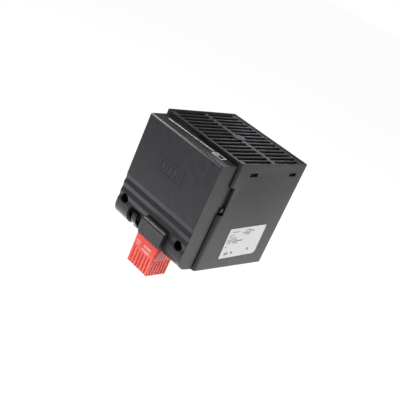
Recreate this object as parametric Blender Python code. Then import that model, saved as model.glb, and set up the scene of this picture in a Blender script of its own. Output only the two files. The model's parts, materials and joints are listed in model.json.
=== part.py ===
"""Touch-safe fan heater for a control cabinet, on a 35 mm rail, with a plug-in thermostat.

Metres, +Z up, the front faces -Y and +X is to the right of someone who looks at it.
The origin is the middle of the face on the rail clip that the mounting rail bears on.
"""

import math

import bmesh
import bpy
from mathutils import Matrix, Vector

# Clearances between pieces
FIT = 0.0003            # between pieces that touch or seat
COVER_GAP = 0.0008      # shadow gap behind the front cover
LABEL_GAP = 0.0001      # glue line under the rating label
OVERLAP = 0.0006        # how far a joined shape reaches into its neighbour
BEYOND = 0.002          # how far a cutter reaches past a face

# Housing, one moulded hood with its outlet grille
HOUSING_WIDTH = 0.085
HOUSING_DEPTH = 0.082
HOUSING_HEIGHT = 0.0925
WALL = 0.0025
FRONT_EDGE_RADIUS = 0.0024
BACK_EDGE_RADIUS = 0.0014
WINDOW_WIDTH = 0.0085
WINDOW_HEIGHT = 0.003
WINDOW_DROP = 0.0075            # from the top of the hood down to the windows
FRONT_WINDOW = 0.01925          # from the front face back to the middle of its windows
BACK_WINDOW = 0.01425           # from the back face forward to the middle of the windows

# Outlet grille in the top of the hood
GRILLE_RIM = 0.0013
GRILLE_SLOPE = 0.0011           # width of the slope from the rim down to the bars
GRILLE_RECESS = 0.0008
BAR_EDGE = 0.0005               # bevel along the upper edges of the bars
GRILLE_THICKNESS = 0.0026
SLOT_WIDTH = 0.0031
SLOT_PITCH = 0.00545
GRILLE_FRONT_MARGIN = 0.0054
GRILLE_BACK_MARGIN = 0.0050
GRILLE_RIB = 0.0042
GRILLE_RIB_BACK = 0.0010        # how far the rib lies behind the middle of the slots
CORNER_SLOT_CUT = 0.0025
PAD_WIDTH = 0.0084
PAD_LENGTH = 0.015
PAD_FLAT = 0.0075

# Front cover
COVER_WIDTH = 0.080
COVER_DEPTH = 0.018
COVER_TOP_STEP = 0.0033
COVER_BOTTOM_STEP = 0.0006
COVER_WALL = 0.002
COVER_TOP_RADIUS = 0.001
COVER_BOTTOM_RADIUS = 0.011
COVER_EDGE_BREAK = 0.0004
GROOVE_TOP = 0.037              # first groove's upper edge above the foot of the hood
GROOVE_PITCH = 0.00745
GROOVE_DEPTH = 0.0008
GROOVES = 3
TONGUE_LOW = 0.050
TONGUE_HIGH = 0.072
TONGUE_REACH = 0.004
NUB_HEIGHT = 0.006
NUB_PROUD = 0.0015
HOOK_WIDTH = 0.0052
HOOK_RISE = 0.0013
HOOK_REACH = 0.0012
RIB_THICKNESS = 0.0014
RIB_REACH = 0.0025

# Cover screws
COVER_SCREW_X = 0.0328
COVER_SCREW_Z = 0.0184
WELL_RADIUS = 0.0040
WELL_DEPTH = 0.0075
WELL_WALL = 0.0015
COVER_SCREW_LENGTH = 0.0155
BOSS_RADIUS = 0.0038
BOSS_LENGTH = 0.009

# Screws of one size for covers and clip, a longer one for the fan
SCREW_RADIUS = 0.0015
HEAD_RADIUS = 0.0028
HEAD_HEIGHT = 0.0021

# Thermostat socket and plug-in module
SOCKET_X = 0.00825
SOCKET_WIDTH = 0.0249
SOCKET_PROUD = 0.0042           # in front of the cover
SOCKET_LOW = 0.0072
SOCKET_HIGH = 0.0207
SOCKET_WALL = 0.0015
SOCKET_ROOF = 0.0055
SOCKET_EDGE_RADIUS = 0.0027
SOCKET_RIB_PITCH = 0.0012
SOCKET_RIB_DEPTH = 0.0003
FLANGE_WIDTH = 0.016
FLANGE_RISE = 0.010
FLANGE_THICKNESS = 0.003
CONTACT_SPACING = 0.0105
CONTACT_RADIUS = 0.0020
CONTACT_BORE = 0.0013
CONTACT_RISE = 0.0045
PIN_RADIUS = 0.0010
PIN_LENGTH = 0.0085
MODULE_HEIGHT = 0.0251
MODULE_DEPTH = 0.0210
MODULE_TAPER = 0.0003
MODULE_NECK = 0.0045
MODULE_INSET = 0.0003
MODULE_EDGE = 0.0006
MODULE_GROOVE_WIDTH = 0.0012
MODULE_GROOVE_DEPTH = 0.0010
MODULE_GROOVE_LENGTH = 0.0140
MODULE_FRONT_PITCH = 0.0034
MODULE_SIDE_PITCH = 0.0030
MODULE_GROOVES = 6
DISC_RADIUS = 0.0050
DISC_PROUD = 0.0004
DISC_DROP = 0.0065

# Lead entry and its clamp
ENTRY_LEFT = -0.0245
ENTRY_RIGHT = -0.0092
ENTRY_HIGH = 0.0172
ENTRY_RADIUS = 0.003
CLAMP_X = -0.0175
CLAMP_WIDTH = 0.0054
CLAMP_THICKNESS = 0.0018
CLAMP_RECESS = 0.0012
CLAMP_SCREW_X = -0.0118
CLAMP_BAR_HEIGHT = 0.006
CLAMP_BAR_Z = 0.014
CLAMP_BAR_DROP = 0.009          # how far the bar's skirt hangs down into the lead opening
CLAMP_BEND_DROP = 0.0022        # from the top of the bar down to where the tongue leaves it
CLAMP_POST_LENGTH = 0.0065
CLAMP_POST_WIDTH = 0.006
CLAMP_LIP = 0.0022

# Terminal block
TERMINAL_LOW = 0.046
TERMINAL_HEIGHT = 0.014
TERMINAL_DEPTH = 0.0115
TERMINAL_POLES = 3
TERMINAL_PITCH = 0.0095
TERMINAL_END = 0.0015
TERMINAL_WELL = 0.0026
TERMINAL_SCREW_DEPTH = 0.0035
TERMINAL_ENTRY = 0.0020
GROMMET_Z = 0.0675
GROMMET_RADIUS = 0.0062
GROMMET_LIP = 0.0012

# Fan
FAN_MARGIN = 0.0085             # between the fan and the front and back wall of the duct
FAN_HEIGHT = 0.025
FAN_HOLE_INSET = 0.005          # from the fan's side to its corner screws
FAN_FLANGE = 0.0036
FAN_WALL = 0.0016
FAN_CORNER_RADIUS = 0.0035
FAN_STRUT = 0.0034
FAN_BASE_THICKNESS = 0.0024
HUB_RADIUS = 0.0150
HUB_WALL = 0.0014
HUB_HEIGHT = 0.0185
HUB_LIFT = 0.0022               # from the inlet face of the fan up to the hub
BLADES = 7
TIP_GAP = 0.0008
BLADE_HEIGHT = 0.0150
BLADE_THICKNESS = 0.0012
BLADE_SWEEP = math.radians(46.0)
BEARING_TUBE = 0.0042
BEARING_RADIUS = 0.0026
BEARING_LENGTH = 0.010
SHAFT_RADIUS = 0.0010
STATOR_RADIUS = 0.0122
STATOR_HEIGHT = 0.009

# Finger guard under the fan
GUARD_LIFT = 0.0004
GUARD_THICKNESS = 0.0026
GUARD_CENTRE = 0.0085           # least radius of the guard's plain middle
GUARD_GAP = 0.0031
GUARD_BAR = 0.0018
GUARD_SPOKES = 6
GUARD_SPOKE_WIDTH = 0.0024
GUARD_HEAD_RECESS = 0.0016

# Heater and its carrier
CARRIER_PLATE = 0.0025
CARRIER_LEDGE = 0.0004          # how far the carrier's hole is inside the bore of the fan
HEATER_LIFT = 0.036
HEATER_HEIGHT = 0.040
HEATER_END = 0.008              # how far the heat sinks reach past the element
SINK_BASE = 0.003
FIN_LENGTH = 0.0165
FIN_THICKNESS = 0.0013
FIN_PITCH = 0.0040
ELEMENT_THICKNESS = 0.0036
ELEMENT_LENGTH = 0.044
TAB_WIDTH = 0.0048
TAB_THICKNESS = 0.0008
TAB_HEIGHT = 0.0055
TAB_X = 0.0150
POST_WIDTH = 0.0085
POST_WALL = 0.0022
POST_HEIGHT = 0.031
HEATER_SCREW_OUT = 0.0048       # from the end of the element out to its screw
HEATER_SCREW_LIFT = 0.020
LEG_THICKNESS = 0.0020
LEG_GAP = 0.0007
CATCH_PROUD = 0.0010
CUTOUT_RADIUS = 0.0078
CUTOUT_HEIGHT = 0.0056
CUTOUT_BLADE_SPACING = 0.008
CUTOUT_BLADE_HEIGHT = 0.0040

# Rail clip on the back
RAIL_HEIGHT = 0.035
RAIL_CENTRE = 0.04625           # above the foot of the hood
CLIP_PLATE = 0.0052
CLIP_WIDTH = 0.030
CLIP_TOP = 0.0215
CLIP_FOOT = -0.038
CLIP_FLOOR = 0.0012
CLIP_SCREW_X = 0.0105
CLIP_SCREW_Z = 0.006
HOOK_LIP = 0.0028
HOOK_DEPTH = 0.0042
HOOK_SLOT = 0.0016
LATCH_WIDTH = 0.014
LATCH_TOP = -0.0145
LATCH_FOOT = -0.0445
LATCH_TRAVEL = 0.004
LATCH_HOOK_HEIGHT = 0.0036
PULL_SLOT_LIFT = 0.0015         # from the foot of the latch up to the slot for a screwdriver
PULL_SLOT_HEIGHT = 0.0017
SPRING_RADIUS = 0.0017
SPRING_WIRE = 0.00022
SPRING_LENGTH = 0.010
SPRING_TURNS = 6
LUG_HEIGHT = 0.003
LUG_WIDTH = 0.0034
RUNNER_REACH = 0.0010
RUNNER_THICKNESS = 0.0012

# Rating label
LABEL_LENGTH = 0.0435
LABEL_HEIGHT = 0.0275
LABEL_THICKNESS = 0.0002
LABEL_RADIUS = 0.0012
LABEL_BIG_RADIUS = 0.003
LABEL_FRONT = 0.0225            # from the front face of the hood back to the label
LABEL_LOW = 0.0098
LABEL_TURN = math.radians(2.5)  # the label is stuck on by hand, a little askew

# Planes that the pieces share
BACK_Y = -CLIP_PLATE - FIT
FRONT_Y = BACK_Y - HOUSING_DEPTH
FOOT_Z = -RAIL_CENTRE
TOP_Z = FOOT_Z + HOUSING_HEIGHT
SIDE_X = HOUSING_WIDTH / 2
DUCT_X = SIDE_X - WALL
DUCT_FRONT = FRONT_Y + WALL
DUCT_BACK = BACK_Y - WALL
DUCT_Y = (DUCT_FRONT + DUCT_BACK) / 2
GRILLE_TOP = TOP_Z - GRILLE_RECESS
GRILLE_UNDER = GRILLE_TOP - GRILLE_THICKNESS
COVER_FRONT = FRONT_Y - COVER_DEPTH
COVER_BACK = FRONT_Y - COVER_GAP
COVER_SIDE = COVER_WIDTH / 2
COVER_TOP = TOP_Z - COVER_TOP_STEP
COVER_FOOT = FOOT_Z + COVER_BOTTOM_STEP
SCREW_HOLE = SCREW_RADIUS + FIT
FAN_FOOT = FOOT_Z + GUARD_LIFT + GUARD_THICKNESS + FIT
FAN_TOP = FAN_FOOT + FAN_HEIGHT
CARRIER_FOOT = FAN_TOP + FIT
HEATER_FOOT = FOOT_Z + HEATER_LIFT
HEATER_TOP = HEATER_FOOT + HEATER_HEIGHT
SINK_FACE = ELEMENT_THICKNESS / 2 + FIT
FAN_SIDE = DUCT_BACK - DUCT_FRONT - 2 * FAN_MARGIN
FAN_HOLE_SPACING = FAN_SIDE - 2 * FAN_HOLE_INSET
FAN_RING = FAN_SIDE / 2
FAN_BORE = FAN_RING - FAN_WALL
BLADE_TIP = FAN_BORE - TIP_GAP
CARRIER_HOLE = FAN_BORE - CARRIER_LEDGE
GUARD_RINGS = int((FAN_BORE - GUARD_CENTRE) / (GUARD_GAP + GUARD_BAR))
HEATER_LENGTH = ELEMENT_LENGTH + 2 * HEATER_END
HEATER_SCREW_X = ELEMENT_LENGTH / 2 + HEATER_SCREW_OUT
FINS = int(ELEMENT_LENGTH / FIN_PITCH + 0.0001) + 1

ROUND = 24
FINE_ROUND = 28
SMALL_ROUND = 12
SCREW_ROUND = 10
TIDY = 0.000001
MILLI = 1000.0


def collection_named(name):
    made = bpy.data.collections.new(name)
    bpy.context.scene.collection.children.link(made)
    return made


def material(name, colour, roughness, metallic=0.0):
    made = bpy.data.materials.new(name)
    made.use_nodes = True
    shader = made.node_tree.nodes["Principled BSDF"]
    shader.inputs["Base Color"].default_value = (*colour, 1.0)
    shader.inputs["Roughness"].default_value = roughness
    shader.inputs["Metallic"].default_value = metallic
    return made


def box(low, high):
    """A block between two corners."""
    low, high = Vector(low), Vector(high)
    made = bmesh.new()
    size = Matrix.Diagonal((*(high - low), 1.0))
    bmesh.ops.create_cube(made, size=1.0, matrix=Matrix.Translation((low + high) / 2) @ size)
    return made


def turn_to(axis):
    """The rotation that takes +Z to a direction."""
    return Vector((0, 0, 1)).rotation_difference(Vector(axis)).to_matrix().to_4x4()


def rod(start, end, radius, segments=ROUND, end_radius=None):
    """A cylinder or a cone between two points."""
    start, end = Vector(start), Vector(end)
    made = bmesh.new()
    place = Matrix.Translation((start + end) / 2) @ turn_to((end - start).normalized())
    bmesh.ops.create_cone(
        made, cap_ends=True, segments=segments, radius1=radius,
        radius2=radius if end_radius is None else end_radius,
        depth=(end - start).length, matrix=place,
    )
    return made


def together(shapes):
    """Several separate shapes in one mesh."""
    made = bmesh.new()
    for shape in shapes:
        mesh = bpy.data.meshes.new("part_of_group")
        shape.to_mesh(mesh)
        shape.free()
        made.from_mesh(mesh)
        bpy.data.meshes.remove(mesh)
    return made


def arc(centre, radius, start, end, steps):
    """Points on an arc, with its angles in degrees."""
    points = []
    for step in range(steps + 1):
        angle = math.radians(start + (end - start) * step / steps)
        points.append((centre[0] + radius * math.cos(angle), centre[1] + radius * math.sin(angle)))
    return points


def rounded_outline(low, high, radii, steps=4):
    """A rectangle with a radius at each corner: low left, low right, high right, high left."""
    (x0, y0), (x1, y1) = low, high
    corners = (
        ((x0, y0), (1, 1), 180),
        ((x1, y0), (-1, 1), 270),
        ((x1, y1), (-1, -1), 0),
        ((x0, y1), (1, -1), 90),
    )
    points = []
    for (corner, inward, start), radius in zip(corners, radii):
        if radius <= TIDY:
            points.append(corner)
            continue
        centre = (corner[0] + inward[0] * radius, corner[1] + inward[1] * radius)
        points += arc(centre, radius, start, start + 90, steps)
    return points


def extruded(outline, low, high, axis="Z"):
    """A flat outline drawn along an axis, from a filled 2D curve.

    The outline is in XY for axis Z, in YZ for axis X, and in XZ for axis Y. The curve is drawn
    in millimetres, because the filling drops corners that lie very close together.
    """
    curve = bpy.data.curves.new("outline", "CURVE")
    curve.dimensions = "2D"
    curve.fill_mode = "BOTH"
    curve.extrude = (high - low) / 2 * MILLI
    line = curve.splines.new("POLY")
    line.points.add(len(outline) - 1)
    for point, (u, v) in zip(line.points, outline):
        point.co = (u * MILLI, v * MILLI, 0.0, 1.0)
    line.use_cyclic_u = True
    holder = bpy.data.objects.new("outline", curve)
    bpy.context.scene.collection.objects.link(holder)
    bpy.context.view_layer.update()
    mesh = bpy.data.meshes.new_from_object(holder.evaluated_get(bpy.context.evaluated_depsgraph_get()))
    bpy.data.objects.remove(holder)
    bpy.data.curves.remove(curve)
    made = bmesh.new()
    made.from_mesh(mesh)
    bpy.data.meshes.remove(mesh)
    bmesh.ops.scale(made, vec=(1 / MILLI,) * 3, verts=made.verts)
    bmesh.ops.remove_doubles(made, verts=made.verts, dist=TIDY)
    turned = {
        "Z": Matrix.Identity(4),
        "X": Matrix(((0, 0, 1, 0), (1, 0, 0, 0), (0, 1, 0, 0), (0, 0, 0, 1))),
        "Y": Matrix(((1, 0, 0, 0), (0, 0, -1, 0), (0, 1, 0, 0), (0, 0, 0, 1))),
    }[axis]
    middle = (low + high) / 2
    shift = {"Z": (0, 0, middle), "X": (middle, 0, 0), "Y": (0, middle, 0)}[axis]
    bmesh.ops.transform(made, matrix=Matrix.Translation(shift) @ turned, verts=made.verts)
    bmesh.ops.recalc_face_normals(made, faces=made.faces)
    return made


def ribbon(path, thickness):
    """The closed outline of a strip that follows a path, half its thickness to each side."""
    left, right = [], []
    for index, point in enumerate(path):
        before = Vector(path[max(index - 1, 0)])
        after = Vector(path[min(index + 1, len(path) - 1)])
        along = (after - before).normalized()
        across = Vector((-along.y, along.x)) * thickness / 2
        left.append(tuple(Vector(point) + across))
        right.append(tuple(Vector(point) - across))
    return left + right[::-1]


def turned(profile, centre, segments=ROUND):
    """A profile of (radius, height) points turned about a vertical axis."""
    made = bmesh.new()
    corners = [made.verts.new((radius, 0.0, height)) for radius, height in profile]
    edges = [made.edges.new(pair) for pair in zip(corners, corners[1:] + corners[:1])]
    bmesh.ops.spin(
        made, geom=corners + edges, cent=(0, 0, 0), axis=(0, 0, 1),
        angle=math.tau, steps=segments, use_merge=True, use_duplicate=False,
    )
    bmesh.ops.remove_doubles(made, verts=made.verts, dist=TIDY)
    bmesh.ops.dissolve_degenerate(made, edges=made.edges, dist=TIDY)
    bmesh.ops.recalc_face_normals(made, faces=made.faces)
    bmesh.ops.translate(made, verts=made.verts, vec=centre)
    return made


def node(name, shape, finish, origin=(0, 0, 0), smooth=True):
    """Makes a named piece from a shape given in world coordinates, with its own origin."""
    mesh = bpy.data.meshes.new(name)
    bmesh.ops.translate(shape, verts=shape.verts, vec=-Vector(origin))
    shape.to_mesh(mesh)
    shape.free()
    if smooth:
        mesh.shade_smooth()
        mesh.set_sharp_from_angle(angle=math.radians(30))
    mesh.materials.append(finish)
    made = bpy.data.objects.new(name, mesh)
    made.location = origin
    PARTS.objects.link(made)
    return made


def tool(name, shape):
    """A helper that a Boolean uses, which isn't a piece itself."""
    mesh = bpy.data.meshes.new(name)
    shape.to_mesh(mesh)
    shape.free()
    made = bpy.data.objects.new(name, mesh)
    made.hide_render = True
    made.display_type = "WIRE"
    CUTTERS.objects.link(made)
    return made


def boolean(piece, label, shape, operation, solver="EXACT"):
    change = piece.modifiers.new(label, "BOOLEAN")
    change.operation = operation
    change.solver = solver
    change.object = tool(f"{piece.name}_{label}", shape)


def cut(piece, label, shape, solver="EXACT"):
    boolean(piece, label, shape, "DIFFERENCE", solver)


def join(piece, label, shape, solver="EXACT"):
    boolean(piece, label, shape, "UNION", solver)


def rides(piece, axle):
    """Parents a piece to the empty on its joint's axis, where it stays."""
    piece.location = piece.location - axle.location
    piece.parent = axle


def axle(name, location):
    made = bpy.data.objects.new(name, None)
    made.location = location
    made.empty_display_size = 0.01
    PARTS.objects.link(made)
    return made


def cross_recess(head_top, direction, size, depth):
    """The cross in a screw's head."""
    place = Matrix.Translation(head_top) @ turn_to(direction)
    wide, thin = size, size * 0.28
    bars = []
    for half_x, half_y in ((wide, thin), (thin, wide)):
        bar = box((-half_x, -half_y, -depth), (half_x, half_y, BEYOND))
        bmesh.ops.transform(bar, matrix=place, verts=bar.verts)
        bars.append(bar)
    return bars


def screw(name, seat, direction, length, finish, head=HEAD_RADIUS, height=HEAD_HEIGHT, shank=SCREW_RADIUS):
    """A pan-head screw: seat is the point under its head, and direction points out of the head."""
    rim = height * 0.45
    profile = [(0, -length), (shank, -length + shank), (shank, 0), (head, 0), (head, rim)]
    profile += [(head * 0.72, height * 0.88), (0, height)]
    shape = turned(profile, (0, 0, 0), SCREW_ROUND)
    place = Matrix.Translation(seat) @ turn_to(direction)
    bmesh.ops.transform(shape, matrix=place, verts=shape.verts)
    made = node(name, shape, finish)
    top = Vector(seat) + Vector(direction) * height
    first, second = cross_recess(top, direction, head * 0.6, height * 0.55)
    cut(made, "cross_long", first)
    cut(made, "cross_short", second)
    return made


# Housing


def slot_places():
    """The middle of each grille slot across the hood, as many as the recess holds."""
    room = DUCT_X - SLOT_WIDTH / 2
    each_side = int(room / SLOT_PITCH + 0.0001)
    return [index * SLOT_PITCH for index in range(-each_side, each_side + 1)]


def grille_rows():
    """The near and far end of the two rows of slots."""
    near = FRONT_Y + GRILLE_FRONT_MARGIN
    far = BACK_Y - GRILLE_BACK_MARGIN
    middle = (near + far) / 2 + GRILLE_RIB_BACK
    return (near, middle - GRILLE_RIB / 2), (middle + GRILLE_RIB / 2, far)


def slot_outlines():
    """The low and high corner of each slot, in plan. The slots at the corners are shorter."""
    places = slot_places()
    front_row, back_row = grille_rows()
    for x in places:
        shorter = CORNER_SLOT_CUT if x in (places[0], places[-1]) else 0.0
        for near, far in ((front_row[0] + shorter, front_row[1]), (back_row[0], back_row[1] - shorter)):
            yield (x - SLOT_WIDTH / 2, near), (x + SLOT_WIDTH / 2, far)


def grille_slots():
    return together([
        box((x0, y0, GRILLE_UNDER - BEYOND), (x1, y1, TOP_Z + BEYOND))
        for (x0, y0), (x1, y1) in slot_outlines()
    ])


def funnel(low, high, top, run, edge, under=0.0):
    """A cutter with sloped sides that is wider by edge at the level top than it is run below it.

    The corners low and high are in plan. The slope goes on a little above the top, so that the
    cut is clean, and on below its foot by under.
    """
    over = run / 4
    (x0, y0), (x1, y1) = low, high
    shape = box((x0, y0, top - run - under), (x1, y1, top + over))
    middle = Vector(((x0 + x1) / 2, (y0 + y1) / 2, 0))
    for vert in shape.verts:
        out = edge * (1 + over / run) if vert.co.z > top else -edge * under / run
        vert.co.x += math.copysign(1, vert.co.x - middle.x) * out
        vert.co.y += math.copysign(1, vert.co.y - middle.y) * out
    return shape


def grille_bar_edges():
    """The bevels along the upper edges of the bars, cut as a wider mouth of each slot."""
    return together([
        funnel(low, high, GRILLE_TOP, BAR_EDGE, BAR_EDGE, BAR_EDGE / 4) for low, high in slot_outlines()
    ])


def grille_pad():
    """The six-sided moulding pad where the rib crosses the middle slot."""
    front_row, back_row = grille_rows()
    middle = (front_row[1] + back_row[0]) / 2
    half, long, flat = PAD_WIDTH / 2, PAD_LENGTH / 2, PAD_FLAT / 2
    outline = [(-half, middle - flat), (0, middle - long), (half, middle - flat)]
    outline += [(half, middle + flat), (0, middle + long), (-half, middle + flat)]
    return extruded(outline, GRILLE_UNDER, GRILLE_TOP + GRILLE_RECESS / 2)


def window_rows():
    for middle in (FRONT_Y + FRONT_WINDOW, BACK_Y - BACK_WINDOW):
        yield middle - WINDOW_WIDTH / 2, middle + WINDOW_WIDTH / 2


def side_windows():
    high = TOP_Z - WINDOW_DROP
    holes = []
    for side in (-1, 1):
        for near, far in window_rows():
            low_x, high_x = sorted((side * (DUCT_X - BEYOND), side * (SIDE_X + BEYOND)))
            holes.append(box((low_x, near, high - WINDOW_HEIGHT), (high_x, far, high)))
    return together(holes)


def tongue_pocket(side, margin, reach):
    """The space round a cover tongue at a front corner of the hood, or the moulding round it."""
    inner = COVER_SIDE - COVER_WALL - margin
    low_x, high_x = sorted((side * inner, side * (SIDE_X + reach)))
    low = FOOT_Z + TONGUE_LOW - margin
    high = FOOT_Z + TONGUE_HIGH + margin
    return (low_x, low), (high_x, high)


def tongue_mouldings():
    blocks = []
    for side in (-1, 1):
        (x0, z0), (x1, z1) = tongue_pocket(side, 2 * FIT + WALL, -WALL / 2)
        blocks.append(box((x0, FRONT_Y + WALL / 2, z0), (x1, FRONT_Y + TONGUE_REACH + 2 * FIT + WALL, z1)))
    return together(blocks)


def tongue_pockets():
    pockets = []
    for side in (-1, 1):
        (x0, z0), (x1, z1) = tongue_pocket(side, 2 * FIT, BEYOND)
        pockets.append(box((x0, FRONT_Y - BEYOND, z0), (x1, FRONT_Y + TONGUE_REACH + 2 * FIT, z1)))
    return together(pockets)


def front_bosses():
    """Blind bosses behind the front wall for the screws of the cover, the clamp and the socket."""
    bosses = []
    for x, z in boss_places():
        bosses.append(rod(
            (x, FRONT_Y + WALL - OVERLAP, z), (x, FRONT_Y + BOSS_LENGTH, z), BOSS_RADIUS, SMALL_ROUND
        ))
    return together(bosses)


def boss_places():
    side = FOOT_Z + COVER_SCREW_Z
    flange = FOOT_Z + SOCKET_HIGH + FLANGE_RISE / 2
    return (-COVER_SCREW_X, side), (COVER_SCREW_X, side), (SOCKET_X, flange)


def locating_rib():
    """The rib on the front wall that the cover slips over, open at its foot."""
    out = COVER_SIDE - COVER_WALL - FIT
    high = COVER_TOP - COVER_WALL - FIT
    low = FOOT_Z + COVER_SCREW_Z + WELL_RADIUS + WELL_WALL + 2 * FIT
    near, far = FRONT_Y - RIB_REACH, FRONT_Y + OVERLAP
    inner = out - RIB_THICKNESS
    outline = [(-out, low), (-inner, low), (-inner, high - RIB_THICKNESS), (inner, high - RIB_THICKNESS)]
    outline += [(inner, low), (out, low), (out, high), (-out, high)]
    return extruded(outline, near, far, "Y")


def clamp_post():
    """The post on the front wall that carries the lead clamp."""
    half = CLAMP_POST_WIDTH / 2
    z = FOOT_Z + CLAMP_BAR_Z
    return box(
        (CLAMP_SCREW_X - half, FRONT_Y - CLAMP_POST_LENGTH, z - half),
        (CLAMP_SCREW_X + half, FRONT_Y + OVERLAP, z + half),
    )


def make_housing():
    outline = rounded_outline(
        (-SIDE_X, FRONT_Y), (SIDE_X, BACK_Y),
        (FRONT_EDGE_RADIUS, FRONT_EDGE_RADIUS, BACK_EDGE_RADIUS, BACK_EDGE_RADIUS),
    )
    housing = node("housing", extruded(outline, FOOT_Z, TOP_Z), BLACK_PLASTIC)
    cut(housing, "duct", box((-DUCT_X, DUCT_FRONT, FOOT_Z - BEYOND), (DUCT_X, DUCT_BACK, GRILLE_UNDER)))
    rim = GRILLE_RIM + GRILLE_SLOPE
    cut(housing, "recess", funnel(
        (-SIDE_X + rim, FRONT_Y + rim), (SIDE_X - rim, BACK_Y - rim), TOP_Z, GRILLE_RECESS, GRILLE_SLOPE
    ))
    cut(housing, "slots", grille_slots())
    cut(housing, "bar_edges", grille_bar_edges())
    # The exact solver loses the hood where the pad meets the many bevels
    join(housing, "pad", grille_pad(), "MANIFOLD")
    cut(housing, "windows", side_windows())
    join(housing, "tongue_mouldings", tongue_mouldings())
    join(housing, "bosses", front_bosses())
    join(housing, "rib", locating_rib())
    join(housing, "clamp_post", clamp_post())
    cut(housing, "tongue_pockets", tongue_pockets())
    half = HOOK_WIDTH / 2 + FIT
    cut(housing, "hook_recess", box(
        (-half, FRONT_Y - RIB_REACH - BEYOND, COVER_TOP - COVER_WALL - FIT),
        (half, FRONT_Y + HOOK_REACH + FIT, COVER_TOP + HOOK_RISE + FIT),
    ))
    holes = [
        rod((x, FRONT_Y - BEYOND, z), (x, FRONT_Y + BOSS_LENGTH - WALL / 2, z), SCREW_HOLE, SMALL_ROUND)
        for x, z in boss_places()
    ]
    z = FOOT_Z + CLAMP_BAR_Z
    holes.append(rod(
        (CLAMP_SCREW_X, FRONT_Y - CLAMP_POST_LENGTH - BEYOND, z), (CLAMP_SCREW_X, FRONT_Y - WALL / 2, z),
        SCREW_HOLE, SMALL_ROUND,
    ))
    cut(housing, "screw_holes", together(holes))
    z = FOOT_Z + GROMMET_Z
    cut(housing, "grommet_hole", rod(
        (0, FRONT_Y - BEYOND, z), (0, DUCT_FRONT + BEYOND, z), GROMMET_RADIUS - GROMMET_LIP + FIT
    ))
    clip_holes = [
        rod((x, DUCT_BACK - BEYOND, z), (x, BACK_Y + BEYOND, z), SCREW_HOLE, SMALL_ROUND)
        for x, z in ((-CLIP_SCREW_X, CLIP_SCREW_Z), (CLIP_SCREW_X, CLIP_SCREW_Z))
    ]
    cut(housing, "clip_holes", together(clip_holes))
    return housing


# Front cover


def cover_profile():
    """The cover seen from its side: a small edge at the top, grooves, and a wide round at the foot."""
    back, front = COVER_BACK, COVER_FRONT
    points = [(back, COVER_FOOT), (back, COVER_TOP)]
    points += arc((front + COVER_TOP_RADIUS, COVER_TOP - COVER_TOP_RADIUS), COVER_TOP_RADIUS, 90, 180, 9)
    high = FOOT_Z + GROOVE_TOP
    for groove in range(GROOVES):
        points.append((front, high - groove * GROOVE_PITCH))
        points.append((front + GROOVE_DEPTH, high - (groove + 0.5) * GROOVE_PITCH))
    points.append((front, high - GROOVES * GROOVE_PITCH))
    low = COVER_FOOT + COVER_BOTTOM_RADIUS
    points += arc((front + COVER_BOTTOM_RADIUS, low), COVER_BOTTOM_RADIUS, 180, 270, 10)
    return points


def cover_hollow_profile():
    back, front = COVER_BACK + BEYOND, COVER_FRONT + COVER_WALL + GROOVE_DEPTH
    foot = COVER_FOOT + COVER_WALL
    radius = COVER_BOTTOM_RADIUS - COVER_WALL
    points = [(back, foot), (back, COVER_TOP - COVER_WALL), (front, COVER_TOP - COVER_WALL)]
    points += arc((front + radius, foot + radius), radius, 180, 270, 8)
    return points


def cover_shell():
    shell = extruded(cover_profile(), -COVER_SIDE, COVER_SIDE, "X")
    rims = [
        edge for edge in shell.edges
        if all(abs(abs(vert.co.x) - COVER_SIDE) < TIDY for vert in edge.verts)
        and not all(abs(vert.co.y - COVER_BACK) < TIDY for vert in edge.verts)
        and len(edge.link_faces) == 2
        and edge.calc_face_angle() > math.radians(60)
    ]
    bmesh.ops.bevel(
        shell, geom=rims, offset=COVER_EDGE_BREAK, offset_type="OFFSET", segments=1, profile=0.5,
        affect="EDGES",
    )
    return shell


def cover_wells(radius, near, far):
    z = FOOT_Z + COVER_SCREW_Z
    return together([rod((x, near, z), (x, far, z), radius) for x in (-COVER_SCREW_X, COVER_SCREW_X)])


def cover_tongues():
    """The two tongues that reach back past the hood's front face, each with a nub to press."""
    shapes = []
    low, high = FOOT_Z + TONGUE_LOW, FOOT_Z + TONGUE_HIGH
    for side in (-1, 1):
        x0, x1 = sorted((side * (COVER_SIDE - COVER_WALL), side * COVER_SIDE))
        shapes.append(box((x0, COVER_BACK - COVER_WALL, low), (x1, FRONT_Y + TONGUE_REACH, high)))
    return together(shapes)


def cover_nubs():
    shapes = []
    low = FOOT_Z + TONGUE_LOW
    near = FRONT_Y + TONGUE_REACH * 0.25
    far = FRONT_Y + TONGUE_REACH
    for side in (-1, 1):
        root, out = side * (COVER_SIDE - OVERLAP), side * (COVER_SIDE + NUB_PROUD)
        outline = [(root, low), (out, low + NUB_PROUD)]
        outline += [(out, low + NUB_HEIGHT - NUB_PROUD), (root, low + NUB_HEIGHT)]
        shapes.append(extruded(outline, near, far, "Y"))
    return together(shapes)


def socket_opening():
    half = SOCKET_WIDTH / 2 + FIT
    return box(
        (SOCKET_X - half, COVER_FRONT - BEYOND, COVER_FOOT - BEYOND),
        (SOCKET_X + half, COVER_BACK + BEYOND, FOOT_Z + SOCKET_HIGH + FIT),
    )


def lead_opening():
    low, high = COVER_FOOT - BEYOND, FOOT_Z + ENTRY_HIGH
    outline = rounded_outline((ENTRY_LEFT, low), (ENTRY_RIGHT, high), (0, 0, ENTRY_RADIUS, ENTRY_RADIUS))
    return extruded(outline, COVER_FRONT - BEYOND, COVER_BACK + BEYOND, "Y")


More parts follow.
